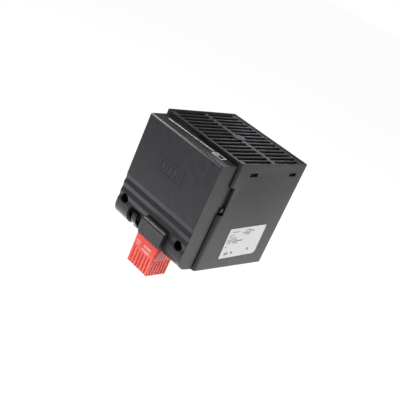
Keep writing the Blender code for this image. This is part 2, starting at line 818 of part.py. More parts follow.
def make_cover():
    cover = node("front_cover", cover_shell(), COVER_PLASTIC)
    inner = COVER_SIDE - COVER_WALL
    cut(cover, "hollow", extruded(cover_hollow_profile(), -inner, inner, "X"))
    join(cover, "tongues", cover_tongues())
    join(cover, "nubs", cover_nubs())
    join(cover, "hook", box(
        (-HOOK_WIDTH / 2, COVER_BACK - COVER_WALL, COVER_TOP - COVER_WALL),
        (HOOK_WIDTH / 2, FRONT_Y + HOOK_REACH, COVER_TOP - FIT),
    ))
    join(cover, "hook_nose", box(
        (-HOOK_WIDTH / 2, FRONT_Y + FIT, COVER_TOP - COVER_WALL / 2),
        (HOOK_WIDTH / 2, FRONT_Y + HOOK_REACH, COVER_TOP + HOOK_RISE),
    ))
    behind = COVER_FRONT + COVER_WALL / 2 + GROOVE_DEPTH
    join(cover, "wells", cover_wells(WELL_RADIUS + WELL_WALL, behind, FRONT_Y - FIT))
    cut(cover, "heads", cover_wells(WELL_RADIUS, COVER_FRONT - BEYOND, COVER_FRONT + WELL_DEPTH))
    cut(cover, "shanks", cover_wells(SCREW_HOLE, COVER_FRONT, FRONT_Y + BEYOND))
    cut(cover, "socket_opening", socket_opening())
    cut(cover, "lead_opening", lead_opening())
    seat = COVER_FRONT + WELL_DEPTH - FIT
    for side, x in (("left", -COVER_SCREW_X), ("right", COVER_SCREW_X)):
        place = (x, seat, FOOT_Z + COVER_SCREW_Z)
        screw(f"cover_screw_{side}", place, (0, -1, 0), COVER_SCREW_LENGTH, SCREW_STEEL)


# Thermostat socket and plug-in module


def socket_front():
    return COVER_FRONT - SOCKET_PROUD


def socket_profile():
    """The socket from its side: a ribbed front, a rounded top edge, and a flat back."""
    front, back = socket_front(), FRONT_Y - FIT
    low, high = FOOT_Z + SOCKET_LOW, FOOT_Z + SOCKET_HIGH
    points = [(back, low), (back, high)]
    radius = SOCKET_EDGE_RADIUS
    points += arc((front + radius, high - radius), radius, 90, 180, 5)
    face = high - radius - low
    ribs = max(1, int(face / SOCKET_RIB_PITCH) - 1)
    start = low + (face - ribs * SOCKET_RIB_PITCH) / 2
    for rib in reversed(range(ribs)):
        base = start + rib * SOCKET_RIB_PITCH
        points.append((front, base + SOCKET_RIB_PITCH * 0.75))
        points.append((front + SOCKET_RIB_DEPTH, base + SOCKET_RIB_PITCH * 0.5))
        points.append((front, base + SOCKET_RIB_PITCH * 0.25))
    points.append((front, low))
    return points


def socket_cavity():
    """The low and high corner of the hollow that the module's neck goes up into."""
    half = SOCKET_WIDTH / 2 - SOCKET_WALL
    low = (SOCKET_X - half, socket_front() + SOCKET_WALL + SOCKET_RIB_DEPTH, FOOT_Z + SOCKET_LOW)
    high = (SOCKET_X + half, FRONT_Y - FIT - SOCKET_WALL, FOOT_Z + SOCKET_HIGH - SOCKET_ROOF)
    return Vector(low), Vector(high)


def contact_places():
    low, high = socket_cavity()
    y = (low.y + high.y) / 2
    return (SOCKET_X - CONTACT_SPACING / 2, y), (SOCKET_X + CONTACT_SPACING / 2, y)


def make_socket():
    half = SOCKET_WIDTH / 2
    shape = extruded(socket_profile(), SOCKET_X - half, SOCKET_X + half, "X")
    socket = node("thermostat_socket", shape, SOCKET_PLASTIC)
    low, high = socket_cavity()
    cut(socket, "cavity", box(low - Vector((0, 0, BEYOND)), high))
    back = FRONT_Y - FIT
    join(socket, "flange", box(
        (SOCKET_X - FLANGE_WIDTH / 2, back - FLANGE_THICKNESS, FOOT_Z + SOCKET_HIGH - SOCKET_ROOF / 2),
        (SOCKET_X + FLANGE_WIDTH / 2, back, FOOT_Z + SOCKET_HIGH + FLANGE_RISE),
    ))
    top = FOOT_Z + SOCKET_HIGH
    cut(socket, "contact_holes", together([
        rod((x, y, high.z - BEYOND), (x, y, top + BEYOND), CONTACT_RADIUS + FIT, SMALL_ROUND)
        for x, y in contact_places()
    ]))
    z = top + FLANGE_RISE / 2
    cut(socket, "screw_hole", rod(
        (SOCKET_X, back - FLANGE_THICKNESS - BEYOND, z), (SOCKET_X, back + BEYOND, z),
        SCREW_HOLE, SMALL_ROUND,
    ))
    seat = (SOCKET_X, back - FLANGE_THICKNESS - FIT, z)
    screw("socket_screw", seat, (0, -1, 0), FLANGE_THICKNESS + BOSS_LENGTH * 0.6, SCREW_STEEL)
    for side, (x, y) in zip(("left", "right"), contact_places()):
        profile = [(CONTACT_BORE, high.z), (CONTACT_RADIUS, high.z), (CONTACT_RADIUS, top + CONTACT_RISE)]
        profile += [(CONTACT_BORE, top + CONTACT_RISE)]
        node(f"socket_contact_{side}", turned(profile, (x, y, 0), SMALL_ROUND), BRASS)


def module_body():
    """The module's outer block, a little narrower at its foot."""
    top = FOOT_Z + SOCKET_LOW - FIT
    half = SOCKET_WIDTH / 2 - MODULE_INSET
    near = socket_front() + MODULE_INSET
    shape = box((SOCKET_X - half, near, top - MODULE_HEIGHT), (SOCKET_X + half, near + MODULE_DEPTH, top))
    middle = Vector((SOCKET_X, near + MODULE_DEPTH / 2, 0))
    for vert in shape.verts:
        if vert.co.z < top - MODULE_HEIGHT / 2:
            offset = vert.co - middle
            vert.co.x -= math.copysign(MODULE_TAPER, offset.x)
            vert.co.y -= math.copysign(MODULE_TAPER / 2, offset.y)
    bmesh.ops.bevel(shape, geom=shape.edges[:], offset=MODULE_EDGE, segments=2, profile=0.5, affect="EDGES")
    return shape


def module_grooves():
    """Upright grooves round the lower part of the module."""
    top = FOOT_Z + SOCKET_LOW - FIT
    low = top - MODULE_HEIGHT - BEYOND
    high = top - MODULE_HEIGHT + MODULE_GROOVE_LENGTH
    half = SOCKET_WIDTH / 2 - MODULE_INSET
    near = socket_front() + MODULE_INSET
    middle_y = near + MODULE_DEPTH / 2
    wide = MODULE_GROOVE_WIDTH / 2
    reach = MODULE_GROOVE_DEPTH + MODULE_TAPER
    grooves = []
    for index in range(MODULE_GROOVES):
        place = index - (MODULE_GROOVES - 1) / 2
        x = SOCKET_X + place * MODULE_FRONT_PITCH
        grooves.append(box((x - wide, near - BEYOND, low), (x + wide, near + reach, high)))
        y = middle_y + place * MODULE_SIDE_PITCH
        for side in (-1, 1):
            x0, x1 = sorted((SOCKET_X + side * (half - reach), SOCKET_X + side * (half + BEYOND)))
            grooves.append(box((x0, y - wide, low), (x1, y + wide, high)))
    return together(grooves)


def make_module():
    low, high = socket_cavity()
    slide = axle("thermostat_slide", (SOCKET_X, (low.y + high.y) / 2, low.z))
    module = node("thermostat_module", module_body(), RED_PLASTIC, slide.location)
    neck = FOOT_Z + SOCKET_LOW + MODULE_NECK
    room = Vector((FIT, FIT, 0))
    foot = low + room - Vector((0, 0, FIT + 2 * MODULE_EDGE))
    join(module, "neck", box(foot, (high.x - FIT, high.y - FIT, neck)))
    cut(module, "grooves", module_grooves())
    half = SOCKET_WIDTH / 2 - MODULE_INSET
    middle_y = socket_front() + MODULE_INSET + MODULE_DEPTH / 2
    z = FOOT_Z + SOCKET_LOW - FIT - DISC_DROP
    discs = []
    for side in (-1, 1):
        start = (SOCKET_X + side * (half - OVERLAP), middle_y, z)
        discs.append(rod(start, (SOCKET_X + side * (half + DISC_PROUD), middle_y, z), DISC_RADIUS))
    join(module, "discs", together(discs))
    cut(module, "pin_holes", together([
        rod((x, y, neck - 2 * PIN_RADIUS - FIT), (x, y, neck + BEYOND), PIN_RADIUS + FIT, SMALL_ROUND)
        for x, y in contact_places()
    ]))
    rides(module, slide)
    for side, (x, y) in zip(("left", "right"), contact_places()):
        foot = neck - 2 * PIN_RADIUS
        shape = together([rod((x, y, foot), (x, y, neck + PIN_LENGTH), PIN_RADIUS, SMALL_ROUND)])
        rides(node(f"module_pin_{side}", shape, BRASS, (x, y, foot)), slide)


# Lead clamp


def clamp_path():
    """The middle line of the clamp's tongue, from its bar out and down round the cover's foot."""
    out = COVER_FRONT + CLAMP_RECESS + CLAMP_THICKNESS / 2
    radius = COVER_BOTTOM_RADIUS - CLAMP_RECESS - CLAMP_THICKNESS / 2
    centre = (COVER_FRONT + COVER_BOTTOM_RADIUS, COVER_FOOT + COVER_BOTTOM_RADIUS)
    bar = FRONT_Y - CLAMP_POST_LENGTH - FIT - CLAMP_THICKNESS / 2
    high = FOOT_Z + CLAMP_BAR_Z + CLAMP_BAR_HEIGHT / 2 - CLAMP_BEND_DROP - CLAMP_THICKNESS / 2
    path = [(bar, high), (out + CLAMP_THICKNESS * 1.5, high)]
    path += arc((out + CLAMP_THICKNESS, high - CLAMP_THICKNESS), CLAMP_THICKNESS, 110, 180, 3)
    path += arc(centre, radius, 180, 245, 7)
    end = Vector(path[-1])
    path.append((end.x + CLAMP_LIP * 0.45, end.y - CLAMP_LIP * 0.8))
    path.append((end.x + CLAMP_LIP * 1.3, end.y - CLAMP_LIP * 1.15))
    return path


def make_clamp():
    half = CLAMP_WIDTH / 2
    outline = ribbon(clamp_path(), CLAMP_THICKNESS)
    clamp = node("cable_clamp", extruded(outline, CLAMP_X - half, CLAMP_X + half, "X"), CLAMP_PLASTIC)
    front = FRONT_Y - CLAMP_POST_LENGTH - FIT
    z = FOOT_Z + CLAMP_BAR_Z
    join(clamp, "bar", box(
        (CLAMP_X - half, front - CLAMP_THICKNESS, z - CLAMP_BAR_HEIGHT / 2),
        (CLAMP_SCREW_X + CLAMP_POST_WIDTH / 2, front, z + CLAMP_BAR_HEIGHT / 2),
    ))
    join(clamp, "skirt", box(
        (CLAMP_X - half, front - CLAMP_THICKNESS, z - CLAMP_BAR_HEIGHT / 2 - CLAMP_BAR_DROP),
        (ENTRY_RIGHT - 2 * FIT, front, z),
    ))
    cut(clamp, "hole", rod(
        (CLAMP_SCREW_X, front - CLAMP_THICKNESS - BEYOND, z), (CLAMP_SCREW_X, front + BEYOND, z),
        SCREW_HOLE, SMALL_ROUND,
    ))
    seat = (CLAMP_SCREW_X, front - CLAMP_THICKNESS - FIT, z)
    screw("cable_clamp_screw", seat, (0, -1, 0), CLAMP_POST_LENGTH * 0.9, SCREW_STEEL)


# Terminal block and grommet


def terminal_places():
    return [(index - (TERMINAL_POLES - 1) / 2) * TERMINAL_PITCH for index in range(TERMINAL_POLES)]


def make_terminals():
    back = FRONT_Y - FIT
    front = back - TERMINAL_DEPTH
    low = FOOT_Z + TERMINAL_LOW
    high = low + TERMINAL_HEIGHT
    half = TERMINAL_POLES * TERMINAL_PITCH / 2 + TERMINAL_END
    block = node("terminal_block", box((-half, front, low), (half, back, high)), WHITE_PLASTIC)
    z = (low + high) / 2
    cut(block, "wells", together([
        rod((x, front - BEYOND, z), (x, front + TERMINAL_SCREW_DEPTH * 2, z), TERMINAL_WELL, SMALL_ROUND)
        for x in terminal_places()
    ]))
    y = front + TERMINAL_DEPTH * 0.55
    cut(block, "entries", together([
        rod((x, y, low - BEYOND), (x, y, z + TERMINAL_WELL / 2), TERMINAL_ENTRY, SMALL_ROUND)
        for x in terminal_places()
    ]))
    for index, x in enumerate(terminal_places()):
        seat = (x, front + TERMINAL_SCREW_DEPTH, z)
        screw(
            f"terminal_screw_{index + 1}", seat, (0, -1, 0), TERMINAL_SCREW_DEPTH * 0.7, BRASS,
            head=TERMINAL_WELL - FIT, height=HEAD_HEIGHT * 0.7, shank=SCREW_RADIUS * 0.8,
        )


def make_grommet():
    z = FOOT_Z + GROMMET_Z
    neck = GROMMET_RADIUS - GROMMET_LIP
    bore = neck - GROMMET_LIP
    front, back = FRONT_Y - FIT, DUCT_FRONT + FIT
    profile = [(bore, front - GROMMET_LIP), (GROMMET_RADIUS, front - GROMMET_LIP)]
    profile += [(GROMMET_RADIUS, front), (neck, front), (neck, back), (GROMMET_RADIUS, back)]
    profile += [(GROMMET_RADIUS, back + GROMMET_LIP), (bore, back + GROMMET_LIP)]
    shape = turned(profile, (0, 0, 0))
    place = Matrix.Translation((0, 0, z)) @ Matrix.Rotation(-math.pi / 2, 4, "X")
    bmesh.ops.transform(shape, matrix=place, verts=shape.verts)
    node("lead_grommet", shape, RUBBER)


# Fan


def corner_places(spacing):
    half = spacing / 2
    return [(x, DUCT_Y + y) for x in (-half, half) for y in (-half, half)]


def square(side, low, high, radius):
    half = side / 2
    outline = rounded_outline((-half, DUCT_Y - half), (half, DUCT_Y + half), [radius] * 4, 3)
    return extruded(outline, low, high)


def down_duct(radius, low, high, segments=FINE_ROUND):
    """A round block or cutter on the fan's axis."""
    return rod((0, DUCT_Y, low), (0, DUCT_Y, high), radius, segments)


def corner_screw_holes(low, high):
    """Cutters for the four screws that hold the guard and the fan to the carrier."""
    return together([
        rod((x, y, low - BEYOND), (x, y, high + BEYOND), SCREW_HOLE, SMALL_ROUND)
        for x, y in corner_places(FAN_HOLE_SPACING)
    ])


def turned_about_fan(shape, angle):
    place = Matrix.Translation((0, DUCT_Y, 0)) @ Matrix.Rotation(angle, 4, "Z")
    bmesh.ops.transform(shape, matrix=place, verts=shape.verts)
    return shape


def make_fan_frame():
    inlet_flange = square(FAN_SIDE, FAN_FOOT, FAN_FOOT + FAN_FLANGE, FAN_CORNER_RADIUS)
    frame = node("fan_frame", inlet_flange, FAN_PLASTIC)
    join(frame, "outlet_flange", square(FAN_SIDE, FAN_TOP - FAN_FLANGE, FAN_TOP, FAN_CORNER_RADIUS))
    low, high = FAN_FOOT + FAN_FLANGE / 2, FAN_TOP - FAN_FLANGE / 2
    join(frame, "ring", down_duct(FAN_RING - TIDY * 50, low, high))
    cut(frame, "bore", down_duct(FAN_BORE, FAN_FOOT - BEYOND, FAN_TOP + BEYOND))
    cut(frame, "corner_holes", corner_screw_holes(FAN_FOOT, FAN_TOP))
    base = FAN_TOP - FAN_BASE_THICKNESS
    tube_foot = base - BEARING_LENGTH
    profile = [(BEARING_RADIUS + FIT, tube_foot), (BEARING_TUBE, tube_foot), (BEARING_TUBE, base)]
    profile += [(HUB_RADIUS, base), (HUB_RADIUS, FAN_TOP), (BEARING_RADIUS + FIT, FAN_TOP)]
    join(frame, "motor_base", turned(profile, (0, DUCT_Y, 0)))
    struts = []
    for quarter in range(4):
        inner = (HUB_RADIUS - OVERLAP, -FAN_STRUT / 2, base)
        strut = box(inner, (FAN_BORE + OVERLAP, FAN_STRUT / 2, FAN_TOP - TIDY * 50))
        struts.append(turned_about_fan(strut, math.radians(45 + 90 * quarter)))
    join(frame, "struts", together(struts))


def hub_levels():
    foot = FAN_FOOT + HUB_LIFT
    return foot, foot + HUB_HEIGHT


def blade(number):
    """One blade: a curved plate that climbs from its leading to its trailing edge."""
    foot, _ = hub_levels()
    along, across = 3, 5
    shape = bmesh.new()
    grid = []
    for i in range(along + 1):
        radius = HUB_RADIUS - HUB_WALL / 2 + (BLADE_TIP - HUB_RADIUS + HUB_WALL / 2) * i / along
        pitch = 1.0 - 0.25 * i / along
        row = []
        for j in range(across + 1):
            t = j / across
            angle = math.tau * number / BLADES + BLADE_SWEEP * (t - 0.5) + 0.18 * i / along
            height = foot + HUB_HEIGHT / 2 + BLADE_HEIGHT * pitch * (t - 0.5 + 0.12 * math.sin(math.pi * t))
            row.append(shape.verts.new((radius * math.cos(angle), radius * math.sin(angle), height)))
        grid.append(row)
    for i in range(along):
        for j in range(across):
            shape.faces.new((grid[i][j], grid[i + 1][j], grid[i + 1][j + 1], grid[i][j + 1]))
    bmesh.ops.recalc_face_normals(shape, faces=shape.faces)
    bmesh.ops.solidify(shape, geom=shape.faces[:], thickness=BLADE_THICKNESS)
    bmesh.ops.recalc_face_normals(shape, faces=shape.faces)
    bmesh.ops.translate(shape, verts=shape.verts, vec=(0, DUCT_Y, 0))
    return shape


def make_rotor():
    foot, top = hub_levels()
    spin = axle("fan_spin", (0, DUCT_Y, foot))
    inner = HUB_RADIUS - HUB_WALL
    boss = SHAFT_RADIUS + FIT
    profile = [(boss, foot), (inner, foot), (HUB_RADIUS, foot + HUB_WALL), (HUB_RADIUS, top)]
    profile += [(inner, top), (inner, foot + HUB_WALL * 1.5), (boss, foot + HUB_WALL * 1.5)]
    rotor = node("fan_rotor", turned(profile, (0, DUCT_Y, 0), FINE_ROUND), FAN_PLASTIC, spin.location)
    join(rotor, "blades", together([blade(number) for number in range(BLADES)]))
    rides(rotor, spin)
    base = FAN_TOP - FAN_BASE_THICKNESS
    shape = down_duct(SHAFT_RADIUS, foot + TIDY * 50, base, SMALL_ROUND)
    rides(node("fan_shaft", shape, STEEL, spin.location), spin)
    tube_foot = base - BEARING_LENGTH
    profile = [(SHAFT_RADIUS + FIT, tube_foot), (BEARING_RADIUS, tube_foot)]
    profile += [(BEARING_RADIUS, base), (SHAFT_RADIUS + FIT, base)]
    node("fan_bearing", turned(profile, (0, DUCT_Y, 0), SMALL_ROUND), BRASS)
    high = base - FIT
    profile = [(BEARING_TUBE + FIT, high - STATOR_HEIGHT), (STATOR_RADIUS, high - STATOR_HEIGHT)]
    profile += [(STATOR_RADIUS, high), (BEARING_TUBE + FIT, high)]
    node("fan_stator", turned(profile, (0, DUCT_Y, 0)), COPPER)


def make_guard():
    low = FOOT_Z + GUARD_LIFT
    high = low + GUARD_THICKNESS
    outline = rounded_outline(
        (-DUCT_X + FIT, DUCT_FRONT + FIT), (DUCT_X - FIT, DUCT_BACK - FIT), [BACK_EDGE_RADIUS] * 4, 3
    )
    guard = node("fan_guard", extruded(outline, low, high), BLACK_PLASTIC)
    for ring in range(GUARD_RINGS):
        outer = FAN_BORE - ring * (GUARD_GAP + GUARD_BAR)
        profile = [(outer - GUARD_GAP, low - BEYOND), (outer, low - BEYOND), (outer, high + BEYOND)]
        profile += [(outer - GUARD_GAP, high + BEYOND)]
        cut(guard, f"ring_{ring + 1}", turned(profile, (0, DUCT_Y, 0), FINE_ROUND))
    spokes = []
    inner = FAN_BORE - GUARD_RINGS * (GUARD_GAP + GUARD_BAR)
    for index in range(GUARD_SPOKES):
        half = GUARD_SPOKE_WIDTH / 2
        spoke = box((inner, -half, low), (FAN_BORE + OVERLAP, half, high - TIDY * 50))
        spokes.append(turned_about_fan(spoke, math.tau * index / GUARD_SPOKES))
    join(guard, "spokes", together(spokes))
    head_room = HEAD_RADIUS + 2 * FIT
    seat = low + GUARD_HEAD_RECESS
    cut(guard, "head_recesses", together([
        rod((x, y, low - BEYOND), (x, y, seat), head_room, SMALL_ROUND)
        for x, y in corner_places(FAN_HOLE_SPACING)
    ]))
    cut(guard, "screw_holes", corner_screw_holes(low, high))
    length = CARRIER_FOOT + CARRIER_PLATE - seat
    for index, (x, y) in enumerate(corner_places(FAN_HOLE_SPACING)):
        place = (x, y, seat - FIT)
        screw(f"fan_screw_{index + 1}", place, (0, 0, -1), length, SCREW_STEEL, height=GUARD_HEAD_RECESS)


# Heater and its carrier


def sink_profile(side):
    """The extruded section of one heat sink: a base with fins that stand away from the element."""
    face = DUCT_Y + side * SINK_FACE
    root = face + side * SINK_BASE
    tip = root + side * FIN_LENGTH
    half = HEATER_LENGTH / 2
    points = [(half, face), (half, root)]
    for index in reversed(range(FINS)):
        x = (index - (FINS - 1) / 2) * FIN_PITCH
        points += [(x + FIN_THICKNESS / 2, root), (x + FIN_THICKNESS / 3, tip)]
        points += [(x - FIN_THICKNESS / 3, tip), (x - FIN_THICKNESS / 2, root)]
    points += [(-half, root), (-half, face)]
    return points


def heater_screw_places():
    z = HEATER_FOOT + HEATER_SCREW_LIFT
    return (-HEATER_SCREW_X, z), (HEATER_SCREW_X, z)


def across_heater(radius):
    reach = SINK_FACE + SINK_BASE + POST_WALL + BEYOND
    return together([
        rod((x, DUCT_Y - reach, z), (x, DUCT_Y + reach, z), radius, SMALL_ROUND)
        for x, z in heater_screw_places()
    ])


def upright_tab(x, width, depth, foot, height):
    """A connector blade that stands on a face at the level foot, in the middle of the duct."""
    return box(
        (x - width / 2, DUCT_Y - depth / 2, foot - OVERLAP),
        (x + width / 2, DUCT_Y + depth / 2, foot + height),
    )


def make_heater():
    for name, side in (("heat_sink_front", -1), ("heat_sink_back", 1)):
        sink = node(name, extruded(sink_profile(side), HEATER_FOOT, HEATER_TOP), ALUMINIUM, smooth=False)
        # The exact solver loses an end face of the many-finned section here
        cut(sink, "screw_holes", across_heater(SCREW_HOLE), "MANIFOLD")
    half = ELEMENT_LENGTH / 2
    thick = ELEMENT_THICKNESS / 2
    element = node("heating_element", box(
        (-half, DUCT_Y - thick, HEATER_FOOT), (half, DUCT_Y + thick, HEATER_TOP)
    ), CERAMIC, smooth=False)
    tabs = [
        upright_tab(x, TAB_WIDTH, TAB_THICKNESS, HEATER_TOP, TAB_HEIGHT) for x in (-TAB_X, TAB_X)
    ]
    join(element, "tabs", together(tabs))
    low = HEATER_TOP + FIT
    high = low + CUTOUT_HEIGHT
    cutout = node("thermal_cutout", down_duct(CUTOUT_RADIUS, low, high, ROUND), CERAMIC)
    join(cutout, "blades", together([
        upright_tab(x, TAB_THICKNESS, TAB_WIDTH, high, CUTOUT_BLADE_HEIGHT)
        for x in (-CUTOUT_BLADE_SPACING / 2, CUTOUT_BLADE_SPACING / 2)
    ]))


def post_blocks():
    """A post at each end of the heater, joined to the carrier's plate."""
    reach = SINK_FACE + SINK_BASE + FIT + POST_WALL
    inner = HEATER_LENGTH / 2 + FIT + POST_WALL - POST_WIDTH
    outer = HEATER_LENGTH / 2 + FIT + POST_WALL
    blocks = []
    for side in (-1, 1):
        x0, x1 = sorted((side * inner, side * outer))
        foot = CARRIER_FOOT + CARRIER_PLATE - OVERLAP
        blocks.append(box((x0, DUCT_Y - reach, foot), (x1, DUCT_Y + reach, HEATER_FOOT + POST_HEIGHT)))
    return together(blocks)


def post_feet():
    """A step of the plate into its air hole under each post, so that the whole post stands on it."""
    reach = SINK_FACE + SINK_BASE + FIT + POST_WALL
    inner = HEATER_LENGTH / 2 + FIT + POST_WALL - POST_WIDTH
    outer = max(HEATER_LENGTH / 2 + FIT + POST_WALL, CARRIER_HOLE + BEYOND)
    top = CARRIER_FOOT + CARRIER_PLATE
    feet = []
    for side in (-1, 1):
        x0, x1 = sorted((side * inner, side * outer))
        feet.append(box((x0, DUCT_Y - reach, CARRIER_FOOT), (x1, DUCT_Y + reach, top)))
    return together(feet)


def leg_span():
    outer = DUCT_X - LEG_GAP
    return outer - LEG_THICKNESS, outer


def carrier_legs():
    inner, outer = leg_span()
    top = TOP_Z - WINDOW_DROP
    legs = []
    for side in (-1, 1):
        for near, far in window_rows():
            x0, x1 = sorted((side * inner, side * outer))
            legs.append(box((x0, near + FIT, CARRIER_FOOT + CARRIER_PLATE - OVERLAP), (x1, far - FIT, top)))
    return together(legs)


def carrier_catches():
    """The hooks on the legs that snap out into the windows of the hood."""
    _, outer = leg_span()
    top = TOP_Z - WINDOW_DROP - FIT
    foot = top - WINDOW_HEIGHT + 2 * FIT
    catches = []
    for side in (-1, 1):
        root, tip = side * (outer - OVERLAP), side * (DUCT_X + CATCH_PROUD)
        outline = [(root, foot), (tip, foot), (tip, foot + WINDOW_HEIGHT * 0.25), (root, top)]
        for near, far in window_rows():
            catches.append(extruded(outline, near + FIT, far - FIT, "Y"))
    return together(catches)


def make_carrier():
    outline = rounded_outline(
        (-DUCT_X + FIT, DUCT_FRONT + FIT), (DUCT_X - FIT, DUCT_BACK - FIT), [BACK_EDGE_RADIUS] * 4, 2
    )
    low, high = CARRIER_FOOT, CARRIER_FOOT + CARRIER_PLATE
    carrier = node("heater_carrier", extruded(outline, low, high), CARRIER_PLASTIC, smooth=False)
    cut(carrier, "air_hole", down_duct(CARRIER_HOLE, low - BEYOND, high + BEYOND))
    notches = []
    room = BOSS_RADIUS + 2 * FIT
    end = FRONT_Y + BOSS_LENGTH + 2 * FIT
    for x, _ in boss_places():
        notches.append(box((x - room, FRONT_Y, low - BEYOND), (x + room, end, high + BEYOND)))
    cut(carrier, "boss_notches", together(notches))
    join(carrier, "post_feet", post_feet())
    join(carrier, "posts", post_blocks())
    slide = SINK_FACE + SINK_BASE + FIT
    length = HEATER_LENGTH / 2 + FIT
    cut(carrier, "heater_slot", box(
        (-length, DUCT_Y - slide, HEATER_FOOT - FIT), (length, DUCT_Y + slide, HEATER_TOP)
    ))
    cut(carrier, "post_screw_holes", across_heater(SCREW_HOLE))
    join(carrier, "legs", carrier_legs())
    join(carrier, "catches", carrier_catches())
    cut(carrier, "fan_screw_holes", corner_screw_holes(low, high))
    face = SINK_FACE + SINK_BASE + FIT + POST_WALL
    for side, (x, z) in zip(("left", "right"), heater_screw_places()):
        screw(f"heater_screw_{side}", (x, DUCT_Y - face - FIT, z), (0, -1, 0), 2 * face, SCREW_STEEL)


# Rail clip


def hook_outline(edge, away):
    """A hook's outline in YZ round one edge of the rail: away is the side of the rail it stands on."""
    inner = edge + away * FIT
    outer = inner + away * LATCH_HOOK_HEIGHT
    lip = edge - away * HOOK_LIP
    outline = [(-CLIP_FLOOR, inner), (HOOK_SLOT, inner), (HOOK_SLOT, lip)]
    return outline + [(HOOK_DEPTH, lip), (HOOK_DEPTH, outer), (-CLIP_FLOOR, outer)]


def spring_levels():
    """Foot and top of the spring at rest, below the latch's hook."""
    top = -RAIL_HEIGHT / 2 - FIT - LATCH_HOOK_HEIGHT - FIT
    return top - SPRING_LENGTH, top


def runner_span():
    """Front and back of the latch's side runners, which keep it in the clip's channel."""
    middle = (-CLIP_PLATE + CLIP_FLOOR) / 2
    return middle - RUNNER_THICKNESS / 2, middle + RUNNER_THICKNESS / 2


def make_clip():
    half = CLIP_WIDTH / 2
    plate = box((-half, -CLIP_PLATE, CLIP_FOOT), (half, 0, CLIP_TOP))
    clip = node("rail_clip", plate, CLIP_PLASTIC, smooth=False)
    join(clip, "hook", extruded(hook_outline(RAIL_HEIGHT / 2, 1), -half, half, "X"))
    channel = LATCH_WIDTH / 2 + FIT
    cut(clip, "channel", box(
        (-channel, -CLIP_PLATE + CLIP_FLOOR, CLIP_FOOT - BEYOND), (channel, BEYOND, LATCH_TOP + FIT)
    ))
    near, far = runner_span()
    groove = channel + RUNNER_REACH
    cut(clip, "grooves", box(
        (-groove, near - FIT, CLIP_FOOT - BEYOND), (groove, far + FIT, LATCH_TOP + FIT)
    ))
    foot, _ = spring_levels()
    join(clip, "lug", box(
        (-LUG_WIDTH / 2, -CLIP_PLATE + CLIP_FLOOR / 2, foot - FIT - LUG_HEIGHT),
        (LUG_WIDTH / 2, -FIT, foot - FIT),
    ))
    places = (-CLIP_SCREW_X, CLIP_SCREW_X)
    recess = HEAD_HEIGHT + FIT
    cut(clip, "head_recesses", together([
        rod((x, -recess, CLIP_SCREW_Z), (x, BEYOND, CLIP_SCREW_Z), HEAD_RADIUS + FIT, SMALL_ROUND)
        for x in places
    ]))
    cut(clip, "screw_holes", together([
        rod((x, -CLIP_PLATE - BEYOND, CLIP_SCREW_Z), (x, 0, CLIP_SCREW_Z), SCREW_HOLE, SMALL_ROUND)
        for x in places
    ]))
    length = CLIP_PLATE + WALL - recess
    for side, x in zip(("left", "right"), places):
        seat = (x, -recess + FIT / 2, CLIP_SCREW_Z)
        screw(f"rail_clip_screw_{side}", seat, (0, 1, 0), length, SCREW_STEEL)


def make_latch():
    slide = axle("latch_slide", (0, -CLIP_PLATE / 2, -RAIL_HEIGHT / 2))
    half = LATCH_WIDTH / 2
    back = -FIT
    front = -CLIP_PLATE + CLIP_FLOOR + FIT
    plate = box((-half, front, LATCH_FOOT), (half, back, LATCH_TOP))
    latch = node("rail_latch", plate, CLIP_PLASTIC, slide.location, smooth=False)
    near, far = runner_span()
    runner = half + RUNNER_REACH
    join(latch, "runners", box((-runner, near, CLIP_FOOT), (runner, far, LATCH_TOP - FIT)))
    outline = hook_outline(-RAIL_HEIGHT / 2, -1)
    join(latch, "hook", extruded(outline, -half, half, "X"))
    foot, top = spring_levels()
    room = SPRING_RADIUS + 2 * FIT
    lug_foot = foot - FIT - LUG_HEIGHT
    cut(latch, "window", box((-room, front - BEYOND, lug_foot - FIT), (room, back + BEYOND, top + FIT)))
    low, high = LATCH_FOOT + PULL_SLOT_LIFT, LATCH_FOOT + PULL_SLOT_LIFT + PULL_SLOT_HEIGHT
    cut(latch, "pull_slot", box((-room, front - BEYOND, low), (room, back + BEYOND, high)))
    rides(latch, slide)


def make_spring():
    """The coil spring that pushes the latch up against the rail."""
    foot, top = spring_levels()
    radius = SPRING_RADIUS - SPRING_WIRE
    middle = -CLIP_PLATE + CLIP_FLOOR + FIT + SPRING_RADIUS
    per_turn = 8
    curve = bpy.data.curves.new("rail_spring", "CURVE")
    curve.dimensions = "3D"
    curve.bevel_depth = SPRING_WIRE
    curve.bevel_resolution = 1
    curve.use_fill_caps = True
    curve.materials.append(STEEL)
    line = curve.splines.new("POLY")
    count = SPRING_TURNS * per_turn
    line.points.add(count)
    low, high = foot + SPRING_WIRE, top - SPRING_WIRE
    for index, point in enumerate(line.points):
        angle = math.tau * index / per_turn
        height = low + (high - low) * index / count
        point.co = (radius * math.cos(angle), middle + radius * math.sin(angle), height, 1.0)
    made = bpy.data.objects.new("rail_spring", curve)
    PARTS.objects.link(made)


# Rating label


def make_label():
    low_y = FRONT_Y + LABEL_FRONT
    low_z = FOOT_Z + LABEL_LOW
    outline = rounded_outline(
        (low_y, low_z), (low_y + LABEL_LENGTH, low_z + LABEL_HEIGHT),
        (LABEL_RADIUS, LABEL_BIG_RADIUS, LABEL_RADIUS, LABEL_RADIUS),
    )
    face = SIDE_X + LABEL_GAP
    shape = extruded(outline, face, face + LABEL_THICKNESS, "X")
    middle = Vector((0, low_y + LABEL_LENGTH / 2, low_z + LABEL_HEIGHT / 2))
    bmesh.ops.rotate(shape, cent=middle, matrix=Matrix.Rotation(LABEL_TURN, 3, "X"), verts=shape.verts)
    node("rating_label", shape, LABEL_FILM, smooth=False)


for old in list(bpy.data.objects):
    bpy.data.objects.remove(old)
PARTS = collection_named("enclosure_heater")
CUTTERS = collection_named("cutters")
CUTTERS.hide_render = True

